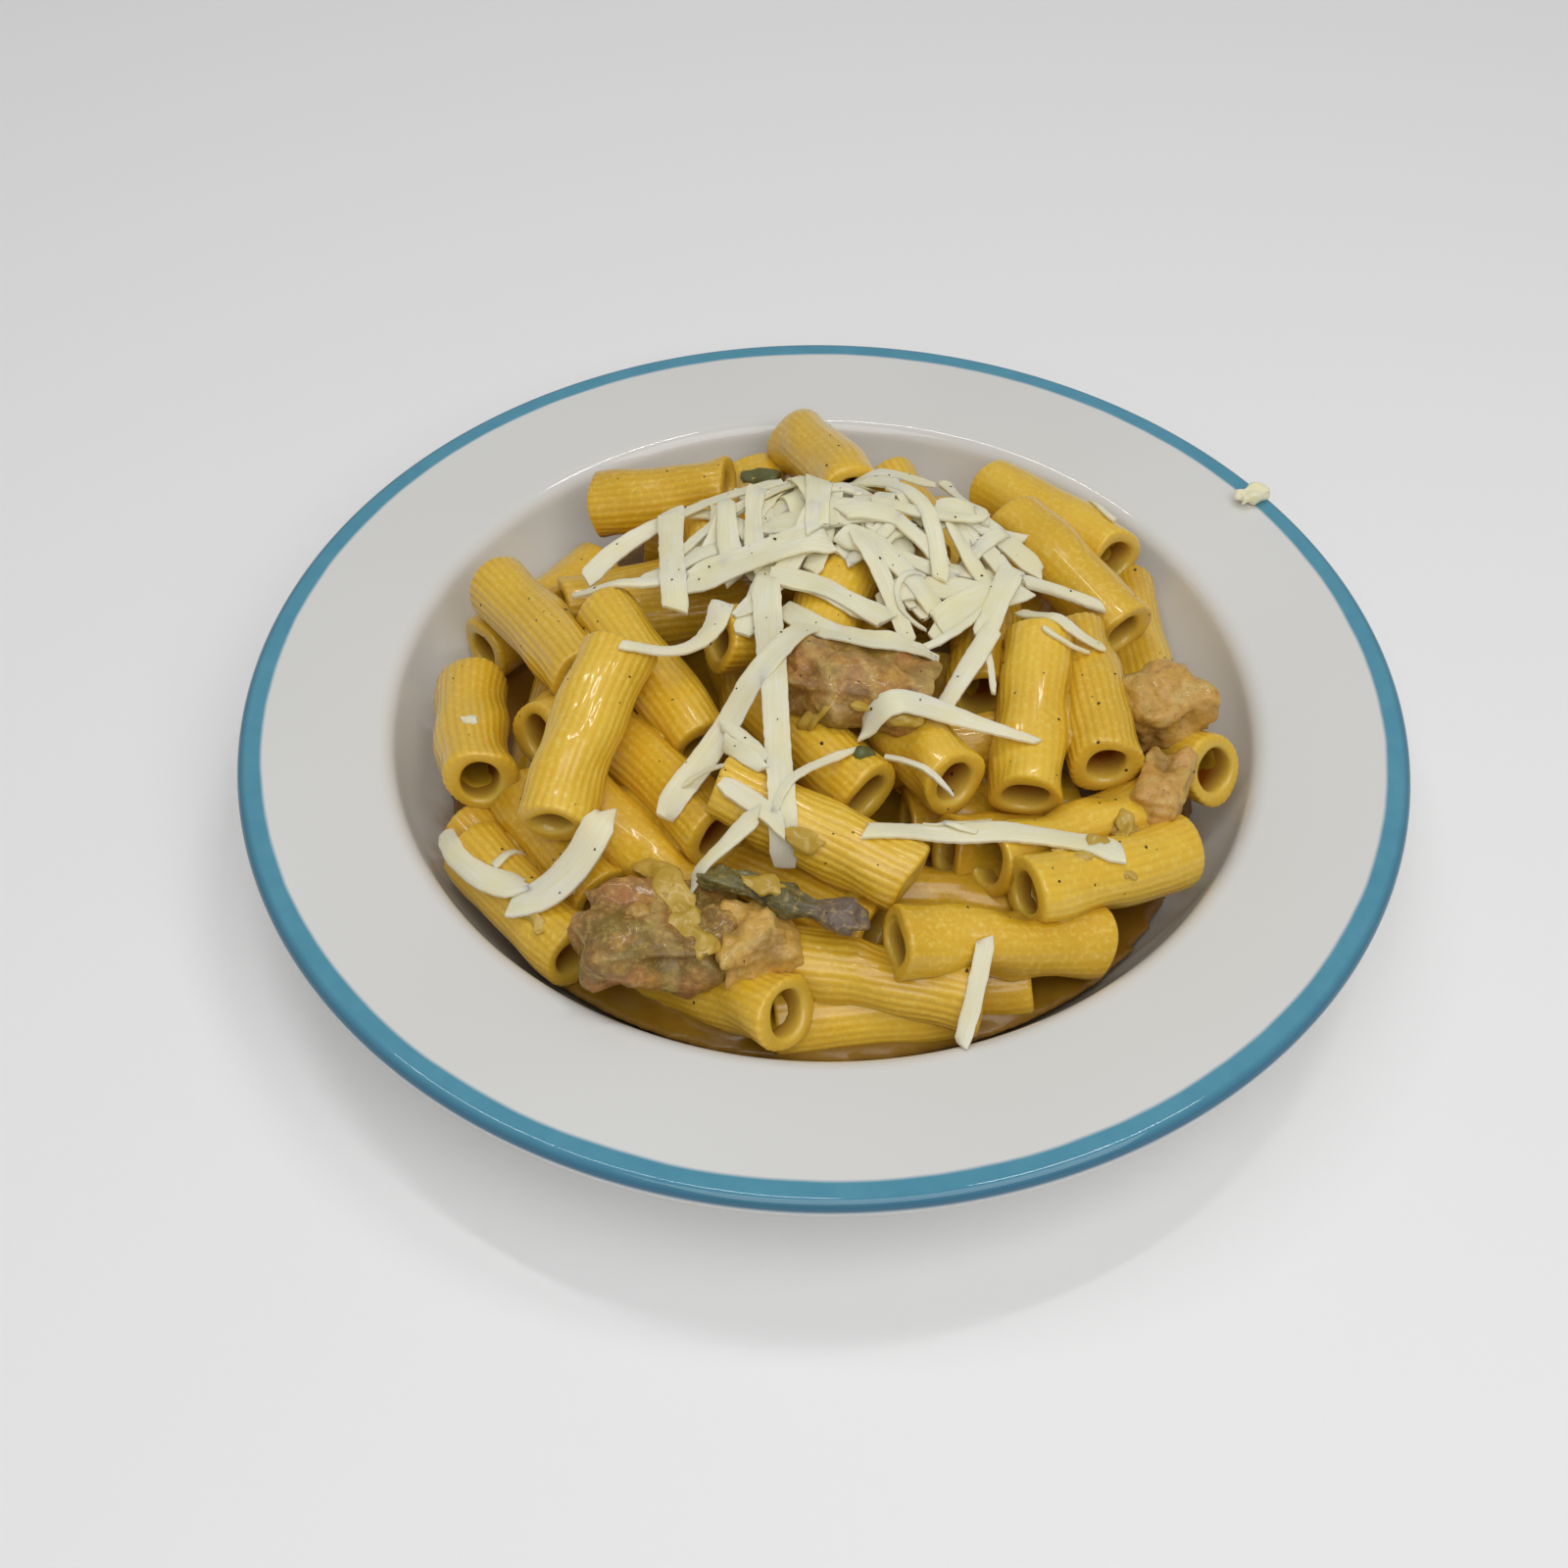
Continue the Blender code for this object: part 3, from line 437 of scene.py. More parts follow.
def rounded(corners, fineness):
    """Points of an outline in the (radius, height) plane; a corner is (radius, height, fillet).

    A fillet's chords stray from its arc by the fineness at most.
    """
    points = []
    for index, (radius, height, fillet) in enumerate(corners):
        here = Vector((radius, height))
        if fillet == 0.0:
            points.append(here)
            continue
        into = (here - Vector(corners[index - 1][:2])).normalized()
        out = (Vector(corners[index + 1][:2]) - here).normalized()
        turn = math.atan2(into.x * out.y - into.y * out.x, into.dot(out))
        start = here - into * fillet * math.tan(abs(turn) / 2)
        centre = start + Vector((-into.y, into.x)) * math.copysign(fillet, turn)
        count = max(2, math.ceil(abs(turn) / (2 * math.acos(1 - fineness / fillet))))
        for k in range(count + 1):
            angle = turn * k / count
            spoke = start - centre
            points.append(centre + Vector((
                spoke.x * math.cos(angle) - spoke.y * math.sin(angle),
                spoke.x * math.sin(angle) + spoke.y * math.cos(angle))))
    return points


def wall_foot(outwards):
    """Radius where the wall's straight line meets the floor, for a surface moved outwards."""
    run = (RIM_HEIGHT - RIM_FALL - FLOOR_HEIGHT) / math.tan(WALL_SLOPE)
    return WELL_RADIUS - run + outwards * math.tan(WALL_SLOPE / 2)


def wall_line(outwards, height):
    """Radius of the moved wall's straight line at a height."""
    return wall_foot(outwards) + (height - FLOOR_HEIGHT + outwards) / math.tan(WALL_SLOPE)


def well_radius(inwards, height):
    """Radius of the well's inner surface, moved inwards, at a height."""
    drop = FLOOR_HEIGHT + WALL_CURVE - height
    curve = WALL_CURVE - inwards
    if drop < curve * math.cos(WALL_SLOPE):
        return wall_line(-inwards, height)
    return curve_start() + math.sqrt(curve ** 2 - drop ** 2)


def curve_start():
    """Radius where the well's flat floor ends."""
    return wall_foot(0.0) - WALL_CURVE * math.tan(WALL_SLOPE / 2)


def bowl_outline():
    """From the middle of the well over the rim and back under to the middle of the underside."""
    under = FLOOR_HEIGHT - SHELL
    shoulder = RIM_HEIGHT - RIM_FALL - SHELL
    skin = rounded((
        (0.0, FLOOR_HEIGHT, 0.0),
        (wall_foot(0.0), FLOOR_HEIGHT, WALL_CURVE),
        (WELL_RADIUS, RIM_HEIGHT - RIM_FALL, WELL_ROLL),
        (RIM_RADIUS, RIM_HEIGHT, LIP_RADIUS),
        (RIM_RADIUS, RIM_HEIGHT - LIP_THICKNESS, LIP_UNDERSIDE),
        (wall_line(SHELL, shoulder), shoulder, SHOULDER_ROLL),
        (wall_foot(SHELL), under, WALL_CURVE + SHELL),
        (0.0, under, 0.0),
    ), BOWL_FINENESS)
    above = (FLOOR_HEIGHT + under) / 2
    kept = [point for point in skin if point.y > above or point.x > FOOT_OUTER + FOOT_TAPER]
    foot = (
        (FOOT_OUTER, under),
        (FOOT_OUTER - FOOT_TAPER, 0.0),
        (FOOT_INNER + FOOT_TAPER, 0.0),
        (FOOT_INNER, under),
        (0.0, under),
    )
    return kept + [Vector(point) for point in foot]


def turned(name, outline, segments):
    """A closed solid turned about Z; the outline starts and ends on the axis."""
    rings = outline[1:-1]
    vertices = [Vector((0.0, 0.0, outline[0].y)), Vector((0.0, 0.0, outline[-1].y))]
    for point in rings:
        vertices.extend(around(point.x, 2 * math.pi * k / segments, point.y) for k in range(segments))
    faces = []
    last = 2 + (len(rings) - 1) * segments
    for k in range(segments):
        after = (k + 1) % segments
        faces.append((0, 2 + k, 2 + after))
        faces.append((1, last + after, last + k))
        for row in range(len(rings) - 1):
            low = 2 + row * segments
            faces.append((low + k, low + segments + k, low + segments + after, low + after))
    mesh = mesh_from(name, vertices, faces)
    face_outwards(mesh)
    return mesh


def face_outwards(mesh):
    shape = bmesh.new()
    shape.from_mesh(mesh)
    bmesh.ops.recalc_face_normals(shape, faces=shape.faces)
    if shape.calc_volume(signed=True) < 0:
        bmesh.ops.reverse_faces(shape, faces=shape.faces)
    shape.to_mesh(mesh)
    shape.free()


def dome(x, y):
    """Height of the surface that the top layer's centre lines follow."""
    return DOME_EDGE + DOME_RISE * (1 - (x * x + y * y) / DOME_RADIUS ** 2)


def laid_tubes():
    """The two ends of every tube's centre line, before they settle."""
    tubes = []
    for x, y, lift, heading, pitch, length in TUBES:
        start = Vector((x * MM, y * MM, dome(x * MM, y * MM) + lift * MM))
        tubes.append([start, start + direction(heading, pitch) * length * MM])
    for k in range(UNDER_COUNT):
        bearing = 360 * k / UNDER_COUNT
        heading = bearing + 90 + UNDER_TURN * (-1) ** k
        middle = direction(bearing, 0) * UNDER_RADIUS + UP * UNDER_HEIGHT
        half = direction(heading, 0) * UNDER_LENGTH / 2
        low = [middle - half, middle + half]
        if min(apart(low, tube).length for tube in tubes) > UNDER_ROOM * TUBE_RADIUS:
            tubes.append(low)
    return tubes


def around(radius, angle, height=0.0):
    """The point at a radius, an angle (radians) and a height."""
    return Vector((radius * math.cos(angle), radius * math.sin(angle), height))


def direction(heading, pitch):
    return around(math.cos(math.radians(pitch)), math.radians(heading), math.sin(math.radians(pitch)))


def nearest(first, second):
    """Where on two segments, as fractions of their lengths, they come closest."""
    along = first[1] - first[0]
    across = second[1] - second[0]
    between = first[0] - second[0]
    a, b, c = along.dot(along), along.dot(across), across.dot(across)
    d, e = along.dot(between), across.dot(between)
    square = a * c - b * b
    s = 0.5 if square < 1e-12 else min(1.0, max(0.0, (b * e - c * d) / square))
    t = min(1.0, max(0.0, (b * s + e) / c))
    s = min(1.0, max(0.0, (b * t - d) / a))
    return s, t


def apart(first, second):
    """The shortest way from the second centre line to the first."""
    s, t = nearest(first, second)
    return first[0].lerp(first[1], s) - second[0].lerp(second[1], t)


def push(tube, fraction, step):
    """Move a tube by a step applied at a fraction of its length, turning it as a lever."""
    tube[0] += step * (1 - fraction) * LEVER
    tube[1] += step * fraction * LEVER


def part_tubes(first, second):
    way = apart(first, second)
    overlap = 2 * TUBE_RADIUS - way.length
    if overlap > 0:
        s, t = nearest(first, second)
        step = way.normalized() * overlap * PART_SHARE
        push(first, s, step)
        push(second, t, -step)


def keep_in_bowl(tube):
    """Push a tube's ends and middle off the floor, the curve and the wall of the well."""
    clear = TUBE_RADIUS + CORE_GAP
    for fraction in (0.0, 0.5, 1.0):
        point = tube[0].lerp(tube[1], fraction)
        radius = point.xy.length
        outward = Vector((point.x, point.y, 0.0)).normalized()
        low = FLOOR_HEIGHT + clear - point.z
        if low > 0:
            push(tube, fraction, UP * low)
        spoke = Vector((radius - curve_start(), point.z - FLOOR_HEIGHT - WALL_CURVE))
        past = spoke.length - (WALL_CURVE - clear)
        turn = math.atan2(spoke.x, -spoke.y)
        if past > 0 and 0 < turn < WALL_SLOPE:
            inward = -spoke.normalized() * past
            push(tube, fraction, outward * inward.x + UP * inward.y)
        past = (radius - wall_line(-clear, point.z)) * math.sin(WALL_SLOPE)
        if past > 0 and turn >= WALL_SLOPE:
            push(tube, fraction, outward * -past)


def stretch(tube, length):
    """Bring a tube back to its length, about its middle."""
    middle = (tube[0] + tube[1]) / 2
    half = (tube[1] - tube[0]).normalized() * length / 2
    tube[0], tube[1] = middle - half, middle + half


def settle(tubes):
    """Push crossing tubes apart, keep them in the bowl and pull them back to where they were laid."""
    homes = [(tube[0].copy(), tube[1].copy()) for tube in tubes]
    for _ in range(SETTLE_ROUNDS):
        for index, tube in enumerate(tubes):
            for other in tubes[:index]:
                part_tubes(tube, other)
        for tube, home in zip(tubes, homes):
            for end in (0, 1):
                tube[end] += (home[end] - tube[end]) * HOME_PULL
            keep_in_bowl(tube)
            stretch(tube, (home[1] - home[0]).length)
    for tube in tubes:
        for _ in range(FINAL_ROUNDS):
            keep_in_bowl(tube)
    return tubes


def frame_of(axis):
    """Two directions square to an axis."""
    side = axis.cross(UP)
    if side.length < 1e-3:
        side = Vector((1.0, 0.0, 0.0))
    side.normalize()
    return side, side.cross(axis)


def low_tubes(upper):
    """A lower layer that gives way to the tubes above it and to the bowl."""
    draw = random.Random(LOW_SEED)
    tubes = []
    for radius, count in LOW_RINGS:
        turn = draw.uniform(0, 360)
        for k in range(count):
            bearing = turn + 360 * k / count
            middle = direction(bearing, 0) * radius
            middle.z = dome(middle.x, middle.y) - LOW_DROP
            heading = bearing + 90 + draw.uniform(-LOW_SPREAD, LOW_SPREAD)
            half = direction(heading, draw.uniform(-LOW_PITCH, LOW_PITCH)) * LOW_LENGTH / 2
            tubes.append([middle - half, middle + half])
    for _ in range(LOW_ROUNDS):
        for index, tube in enumerate(tubes):
            for other in upper + tubes[:index]:
                way = apart(tube, other)
                overlap = 2 * TUBE_RADIUS - way.length
                if overlap > 0:
                    step = way.normalized() * overlap
                    step.z = min(step.z, step.length * LOW_LIFT)
                    push(tube, nearest(tube, other)[0], step * 0.5)
            keep_in_bowl(tube)
            stretch(tube, LOW_LENGTH)
    return tubes


class Rigatone:
    """One cooked tube: a gently bent centre line with a ridged wall round it."""

    def __init__(self, tube, draw, samples=RIDGE_SAMPLES):
        self.start = np.array(tube[0])
        run = np.array(tube[1]) - self.start
        self.length = float(np.linalg.norm(run))
        self.axis = run / self.length
        side, up = frame_of(Vector(self.axis))
        self.side, self.up = np.array(side), np.array(up)
        turn = draw.uniform(0, 2 * math.pi)
        self.bend = (self.side * math.cos(turn) + self.up * math.sin(turn)) * draw.uniform(0.2, 1) * TUBE_BEND
        self.theta = np.linspace(0, 2 * math.pi, RIDGES * samples, endpoint=False)
        self.samples = samples
        self.tone = draw.random()
        self.ridged = draw.choice(RIDGE_STRENGTHS)
        self.oval = (draw.uniform(0.2, 1) * TUBE_OVAL, draw.uniform(0, math.pi))
        self.hole = (draw.uniform(0.2, 1) * HOLE_OVAL, draw.uniform(0, math.pi), draw.uniform(0.94, 1.06))
        self.waves = [
            (draw.uniform(0.3, 1), draw.randint(1, 3), draw.uniform(*LUMP_PACES), draw.uniform(0, TURN))
            for _ in range(LUMPS)]
        self.cuts = [
            (draw.uniform(-1, 1) * CUT_SLANT, draw.uniform(0, TURN), draw.uniform(0, TURN))
            for _ in (0, 1)]
        self.lay_rows()

    def centre(self, along):
        """Points of the centre line at distances along it."""
        share = np.clip(along / self.length, 0, 1)
        straight = self.start + along[..., None] * self.axis
        return straight + (4 * share * (1 - share))[..., None] * self.bend

    def middle(self):
        return self.centre(np.array([self.length / 2]))[0]

    def lay_rows(self):
        """Rows of points: out along the outside, round the far end, back inside, round the near end."""
        outside = np.linspace(END_ROUND, self.length - END_ROUND, OUTER_ROWS)
        inside = np.linspace(self.length - 3 * END_ROUND, 3 * END_ROUND, INNER_ROWS)
        far = [(self.length - inset * END_ROUND, share) for inset, share in END_PROFILE]
        near = [(inset * END_ROUND, share) for inset, share in END_PROFILE[::-1]]
        rows = [(x, 1.0) for x in outside] + far + [(x, 0.0) for x in inside] + near
        self.along = np.array([row[0] for row in rows])[:, None]
        self.share = np.array([row[1] for row in rows])[:, None]

    def shape(self):
        """Radii of the outside and the hole, and the distance along the tube, at every point."""
        theta = self.theta[None, :]
        along = np.broadcast_to(self.along, (len(self.along), len(self.theta))).copy()
        to_end = np.minimum(self.along, self.length - self.along)
        outside = TUBE_RADIUS * (1 + FLARE * np.exp(-np.maximum(to_end, 0) / FLARE_REACH))
        outside = outside * (1 + self.oval[0] * np.cos(2 * (theta - self.oval[1])))
        for height, turns, pace, phase in self.waves:
            outside = outside + LUMP_HEIGHT * height * np.sin(turns * theta + pace * self.along + phase)
        squeeze, lie, size = self.hole
        hole = TUBE_RADIUS * HOLE_RATIO * size * (1 + squeeze * np.cos(2 * (theta - lie)))
        for index, (slant, turn, phase) in enumerate(self.cuts):
            inset = self.along if index == 0 else self.length - self.along
            near = np.clip(1 - inset / CUT_REACH, 0, 1)
            cut = slant * TUBE_RADIUS * np.cos(theta - turn) + CUT_WAVE * np.sin(3 * theta + phase)
            along += near * cut * (1 if index == 0 else -1)
        return outside, hole, along

    def spokes(self):
        cosine, sine = np.cos(self.theta)[:, None], np.sin(self.theta)[:, None]
        return cosine * self.side + sine * self.up

    def build(self, others):
        """The tube's points, pressed flat where it leans on its neighbours, and their marks."""
        outside, hole, along = self.shape()
        spokes = self.spokes()[None, :, :]
        centre = self.centre(along)
        skin = centre + outside[..., None] * spokes
        press = np.zeros(outside.shape)
        crease = np.zeros(outside.shape)
        for other in others:
            line = other.centre(np.linspace(0, other.length, CENTRE_POINTS))
            lowest = skin.reshape(-1, 3).min(0) - 2 * TUBE_RADIUS
            highest = skin.reshape(-1, 3).max(0) + 2 * TUBE_RADIUS
            line = line[np.all((line > lowest) & (line < highest), 1)]
            if not len(line):
                continue
            nearest_square = np.full(outside.shape, 1.0)
            facing = np.zeros(outside.shape)
            for point in line:
                way = point - skin
                square = (way ** 2).sum(-1)
                closer = square < nearest_square
                nearest_square = np.where(closer, square, nearest_square)
                facing = np.where(closer, (way * spokes).sum(-1), facing)
            distance = np.sqrt(nearest_square)
            overlap = np.where(facing > 0, TUBE_RADIUS - distance, 0)
            press = np.maximum(press, overlap)
            crease = np.maximum(crease, np.clip(1 - (distance - TUBE_RADIUS) / CREASE_REACH, 0, 1))
        to_end = np.minimum(self.along, self.length - self.along)
        firm = PRESS_AT_END + (1 - PRESS_AT_END) * np.clip(to_end / PRESS_REACH, 0, 1)
        press = np.clip(press * PRESS_SHARE, 0, PRESS_LIMIT) * firm
        for _ in range(PRESS_PASSES):
            press = (np.roll(press, 1, 1) + 2 * press + np.roll(press, -1, 1)) / 4
        slanting = np.sin(self.theta * COAT_TURNS + self.along * COAT_PACES[0] + self.tone * COAT_SHIFT)
        coated = 0.5 + 0.5 * (slanting * np.sin(self.along * COAT_PACES[1]))
        strength = self.ridged * (BARE_RIDGE + (1 - BARE_RIDGE) * coated)
        ridge = 1 - strength * (1 - np.abs(np.sin(RIDGES * self.theta / 2))[None, :] ** GROOVE_POWER)
        share = self.share
        radius = hole + (outside - hole) * share - press * (PRESS_INSIDE + (1 - PRESS_INSIDE) * share)
        radius = radius - RIDGE_DEPTH * (1 - ridge) * share ** 3
        radius = np.maximum(radius, TUBE_RADIUS * LEAST_RADIUS)
        points = centre + radius[..., None] * spokes
        # Painted shade in the hole: the inside mark deepens from the mouth inwards.
        hole_shade = MOUTH_SHADE + (1 - MOUTH_SHADE) * np.clip(to_end / HOLE_SHADE_REACH, 0, 1)
        inside = np.broadcast_to((1 - share) * hole_shade, outside.shape)
        inner = radius - RIDGE_DEPTH * ridge - FILM_THINNER
        self.skin = (centre + inner[..., None] * spokes)[1:OUTER_ROWS - 1, ::self.samples]
        crest = ridge * share
        tone = np.full(outside.shape, self.tone)
        marks = np.stack([crest, inside, tone, crease], -1)
        return points.reshape(-1, 3), marks.reshape(-1, 4)


def tubes_mesh(name, shaped, everyone):
    """One mesh of several tubes, each pressed by every other tube near it."""
    parts = []
    for tube in shaped:
        near = [
            other for other in everyone
            if other is not tube and np.linalg.norm(other.middle() - tube.middle()) < NEIGHBOUR_REACH]
        points, marks = tube.build(near)
        parts.append((points, ring_quads(len(tube.along), len(tube.theta), True), marks))
    return joined(name, parts)


def core_mesh():
    """The bed of sauce under the tubes: it lines the well and domes up."""
    floor = FLOOR_HEIGHT + CORE_GAP
    lining = [Vector((0.0, floor)), Vector((curve_start(), floor))]
    for k in range(1, CORE_RINGS + 1):
        height = floor + (CORE_EDGE - floor) * (k / CORE_RINGS) ** 2
        lining.append(Vector((well_radius(CORE_GAP, height), height)))
    edge = lining[-1].x
    top = []
    for k in range(1, CORE_RINGS + 1):
        radius = edge * (1 - k / CORE_RINGS)
        ease = min(1.0, k / CORE_SHOULDER)
        height = max(dome(radius, 0.0) - CORE_DROP, CORE_EDGE)
        top.append(Vector((radius, CORE_EDGE + (height - CORE_EDGE) * ease)))
    mesh = turned("core", lining + top, CORE_SEGMENTS)
    for vertex in mesh.vertices:
        place, radius = vertex.co.copy(), vertex.co.xy.length
        if place.z < floor + 1e-4:
            continue
        on_wall = radius > well_radius(CORE_GAP, place.z) - 1e-5
        share = min(1.0, max(0.0, -place.y / CORE_FRONT - 1)) * (radius / edge) ** 4
        place.z += CORE_RISE * share
        if on_wall:
            place.xy *= well_radius(CORE_GAP, place.z) / radius
        vertex.co = place
    return mesh


def film_tube(tube):
    """A closed, slightly thinner copy of a built tube, with a recess in each end."""
    ends = []
    for ring, inwards in ((tube.skin[0], tube.axis), (tube.skin[-1], -tube.axis)):
        middle = ring.mean(0)
        hole = middle + (ring - middle) * (HOLE_RATIO + FILM_WALL / TUBE_RADIUS)
        ends.append([hole + inwards * FILM_DEPTH, hole])
    rings = np.array([*ends[0], *tube.skin, *ends[1][::-1]])
    sides = rings.shape[1]
    quads = [tuple(quad) for quad in ring_quads(len(rings), sides, False).tolist()]
    last = (len(rings) - 1) * sides
    caps = [tuple(range(sides))[::-1], tuple(range(last, last + sides))]
    return rings.reshape(-1, 3), quads + caps


def merged(name, parts, voxel, smoothing, kept):
    """One skin round several closed meshes, smoothed and thinned out."""
    points, faces = [], []
    count = 0
    for places, quads in parts:
        points.extend(map(tuple, places))
        faces.extend(tuple(index + count for index in quad) for quad in quads)
        count += len(places)
    mesh = mesh_from(name, points, faces)
    face_outwards(mesh)
    piece = add_piece(name, mesh)
    remesh = piece.modifiers.new("remesh", "REMESH")
    remesh.mode = "VOXEL"
    remesh.voxel_size = voxel
    smooth = piece.modifiers.new("smooth", "SMOOTH")
    smooth.factor = 0.5
    smooth.iterations = smoothing
    thin = piece.modifiers.new("thin", "DECIMATE")
    thin.ratio = kept
    view = bpy.context.evaluated_depsgraph_get()
    result = bpy.data.meshes.new_from_object(piece.evaluated_get(view))
    bpy.data.objects.remove(piece)
    result.name = name
    return result


def points_of(mesh):
    """A mesh's points and their normals, as rows of three."""
    points, normals = np.empty((2, len(mesh.vertices) * 3), np.float32)
    mesh.vertices.foreach_get("co", points)
    mesh.vertices.foreach_get("normal", normals)
    return points.reshape(-1, 3), normals.reshape(-1, 3)


def arrays_of(mesh, thinner=0.0):
    """A mesh's points, moved in along their normals, and its faces."""
    points, normals = points_of(mesh)
    return points - normals * thinner, [tuple(face.vertices) for face in mesh.polygons]


def grained(mesh, height, size):
    """Roughen a mesh along its normals."""
    points, normals = points_of(mesh)
    rise = np.array([noise.noise(Vector(place) * size) for place in points.tolist()], np.float32)
    mesh.vertices.foreach_set("co", (points + normals * rise[:, None] * height).ravel())
    mesh.update()


def chunk_mesh(name, size, seed, tone, detail=CHUNK_DETAIL, boxiness=CHUNK_BOXINESS):
    """A ragged block with fibres and nubs, and marks for its fat, fibres, nubs and tone.

    Without a tone, the last mark runs along the block instead.
    """
    shape = bmesh.new()
    bmesh.ops.create_icosphere(shape, subdivisions=detail, radius=1.0)
    shift = CHUNK_STRIDE * seed
    grain = Vector((math.sin(seed), math.cos(seed), 0.45)).normalized()
    marks = []
    for vertex in shape.verts:
        unit = vertex.co.normalized()
        squared = Vector([math.copysign(abs(value) ** CHUNK_SQUARENESS, value) for value in unit])
        squared /= max(abs(value) for value in squared) ** boxiness
        rough = 1 + CHUNK_ROUGHNESS * noise.noise(unit * CHUNK_GRAIN + shift)
        place = Vector([squared[k] * size[k] * MM / 2 * rough for k in range(3)])
        if tone is None:
            place.yz *= RIND_SLIM + RIND_SWELL * math.exp(-((unit.x - RIND_HEAD) / RIND_REACH) ** 2)
        strand = place - grain * place.dot(grain)
        fibre = noise.noise(strand * FIBRE_WIDTH + grain * place.dot(grain) * FIBRE_LENGTH + shift)
        nub = noise.noise(place * NUB_SIZE + shift * 2)
        small = noise.noise(place * NUB_SIZE * SMALLER + shift * 3)
        vertex.co = place + unit * (FIBRE_DEPTH * fibre + NUB_DEPTH * nub + NUB_DEPTH * LOWER * small)
        layer = place.dot(grain.orthogonal()) / (size[1] * MM) * FAT_LAYERS
        fat = 0.5 + 0.5 * math.sin((layer + FAT_WANDER * noise.noise(place * FAT_SIZE + shift)) * 4.0)
        golden = squared.x * 0.5 + 0.5 if tone is None else tone
        marks.append((fat, 0.5 + 0.5 * fibre, 0.5 + 0.5 * nub, golden))
    mesh = bpy.data.meshes.new(name)
    shape.to_mesh(mesh)
    shape.free()
    paint(mesh, np.array(marks))
    return mesh


def set_down(mesh, x, y, height, heading, slope):
    """Turn a mesh by a heading (degrees) and a slope (radians), then move it to x, y (mm), height (m)."""
    turn = Matrix.Rotation(math.radians(heading), 4, "Z") @ Matrix.Rotation(-slope, 4, "Y")
    mesh.transform(Matrix.Translation((x * MM, y * MM, height)) @ turn)


def shred_path(x, y, heading, bend, length, width, tip):
    """Stations along a flat arc: each is its middle, its sideways direction and its width."""
    count = max(6, math.ceil(length * MM / SHRED_FINE))
    step = length * MM / count
    place = Vector((x * MM, y * MM))
    stations = []
    for k in range(count + 1):
        angle = math.radians(heading + bend * k / count)
        along = Vector((math.cos(angle), math.sin(angle)))
        stations.append((place.copy(), Vector((-along.y, along.x)), (width + (tip - width) * k / count) * MM))
        ahead = math.radians(heading + bend * (k + 0.5) / count)
        place += Vector((math.cos(ahead), math.sin(ahead))) * step
    return stations


class Ground:
    """What a falling shred can land on: the food, and the shreds already there."""

    def __init__(self, meshes):
        self.food = [self.entry(mesh) for mesh in meshes]
        self.cheese = []

    def entry(self, mesh):
        points, faces = arrays_of(mesh)
        return points.min(0) - MM, points.max(0) + MM, BVHTree.FromPolygons(points.tolist(), faces)

    def add(self, mesh):
        self.cheese.append(self.entry(mesh))

    def height(self, entries, x, y):
        best = 0.0
        for low, high, tree in entries:
            if low[0] < x < high[0] and low[1] < y < high[1]:
                hit = tree.ray_cast(Vector((x, y, SKY)), -UP)[0]
                if hit:
                    best = max(best, hit.z)
        return best


def drape(stations, ground, bridge=0.0):
    """Heights of the shred's two underside edges at each station, stiff enough to bridge gaps.

    A shred of the pile is held up by others across gaps, at the bridge's height over the dome.
    """
    edges = np.zeros((len(stations), 2))
    if bridge:
        edges += np.array([[dome(*middle) + bridge] for middle, _, _ in stations])
    for k, (middle, sideways, width) in enumerate(stations):
        for side, sign in ((0, -1), (1, 1)):
            for share in SHRED_PROBES:
                point = middle + sideways * sign * share * width / 2
                over_food = ground.height(ground.food, point.x, point.y) + SHRED_CLEAR
                over_cheese = ground.height(ground.cheese, point.x, point.y) - SHRED_BITE
                edges[k, side] = max(edges[k, side], over_food, over_cheese)
    pace = (stations[1][0] - stations[0][0]).length
    sag = SHRED_SAG * (pace / SHRED_STEP) ** 2
    for _ in range(SHRED_ROUNDS):
        edges[1:-1] = np.maximum(edges[1:-1], (edges[:-2] + edges[2:]) / 2 - sag)
    for _ in range(SHRED_SMOOTH):
        edges[1:-1] = (edges[:-2] + 2 * edges[1:-1] + edges[2:]) / 4
    slope = edges[:, 0] - edges[:, 1]
    limit = np.clip(np.abs(slope) - SHRED_ROLL, 0, None)
    edges[:, 0] += np.where(slope < 0, limit, 0)
    edges[:, 1] += np.where(slope > 0, limit, 0)
    return edges


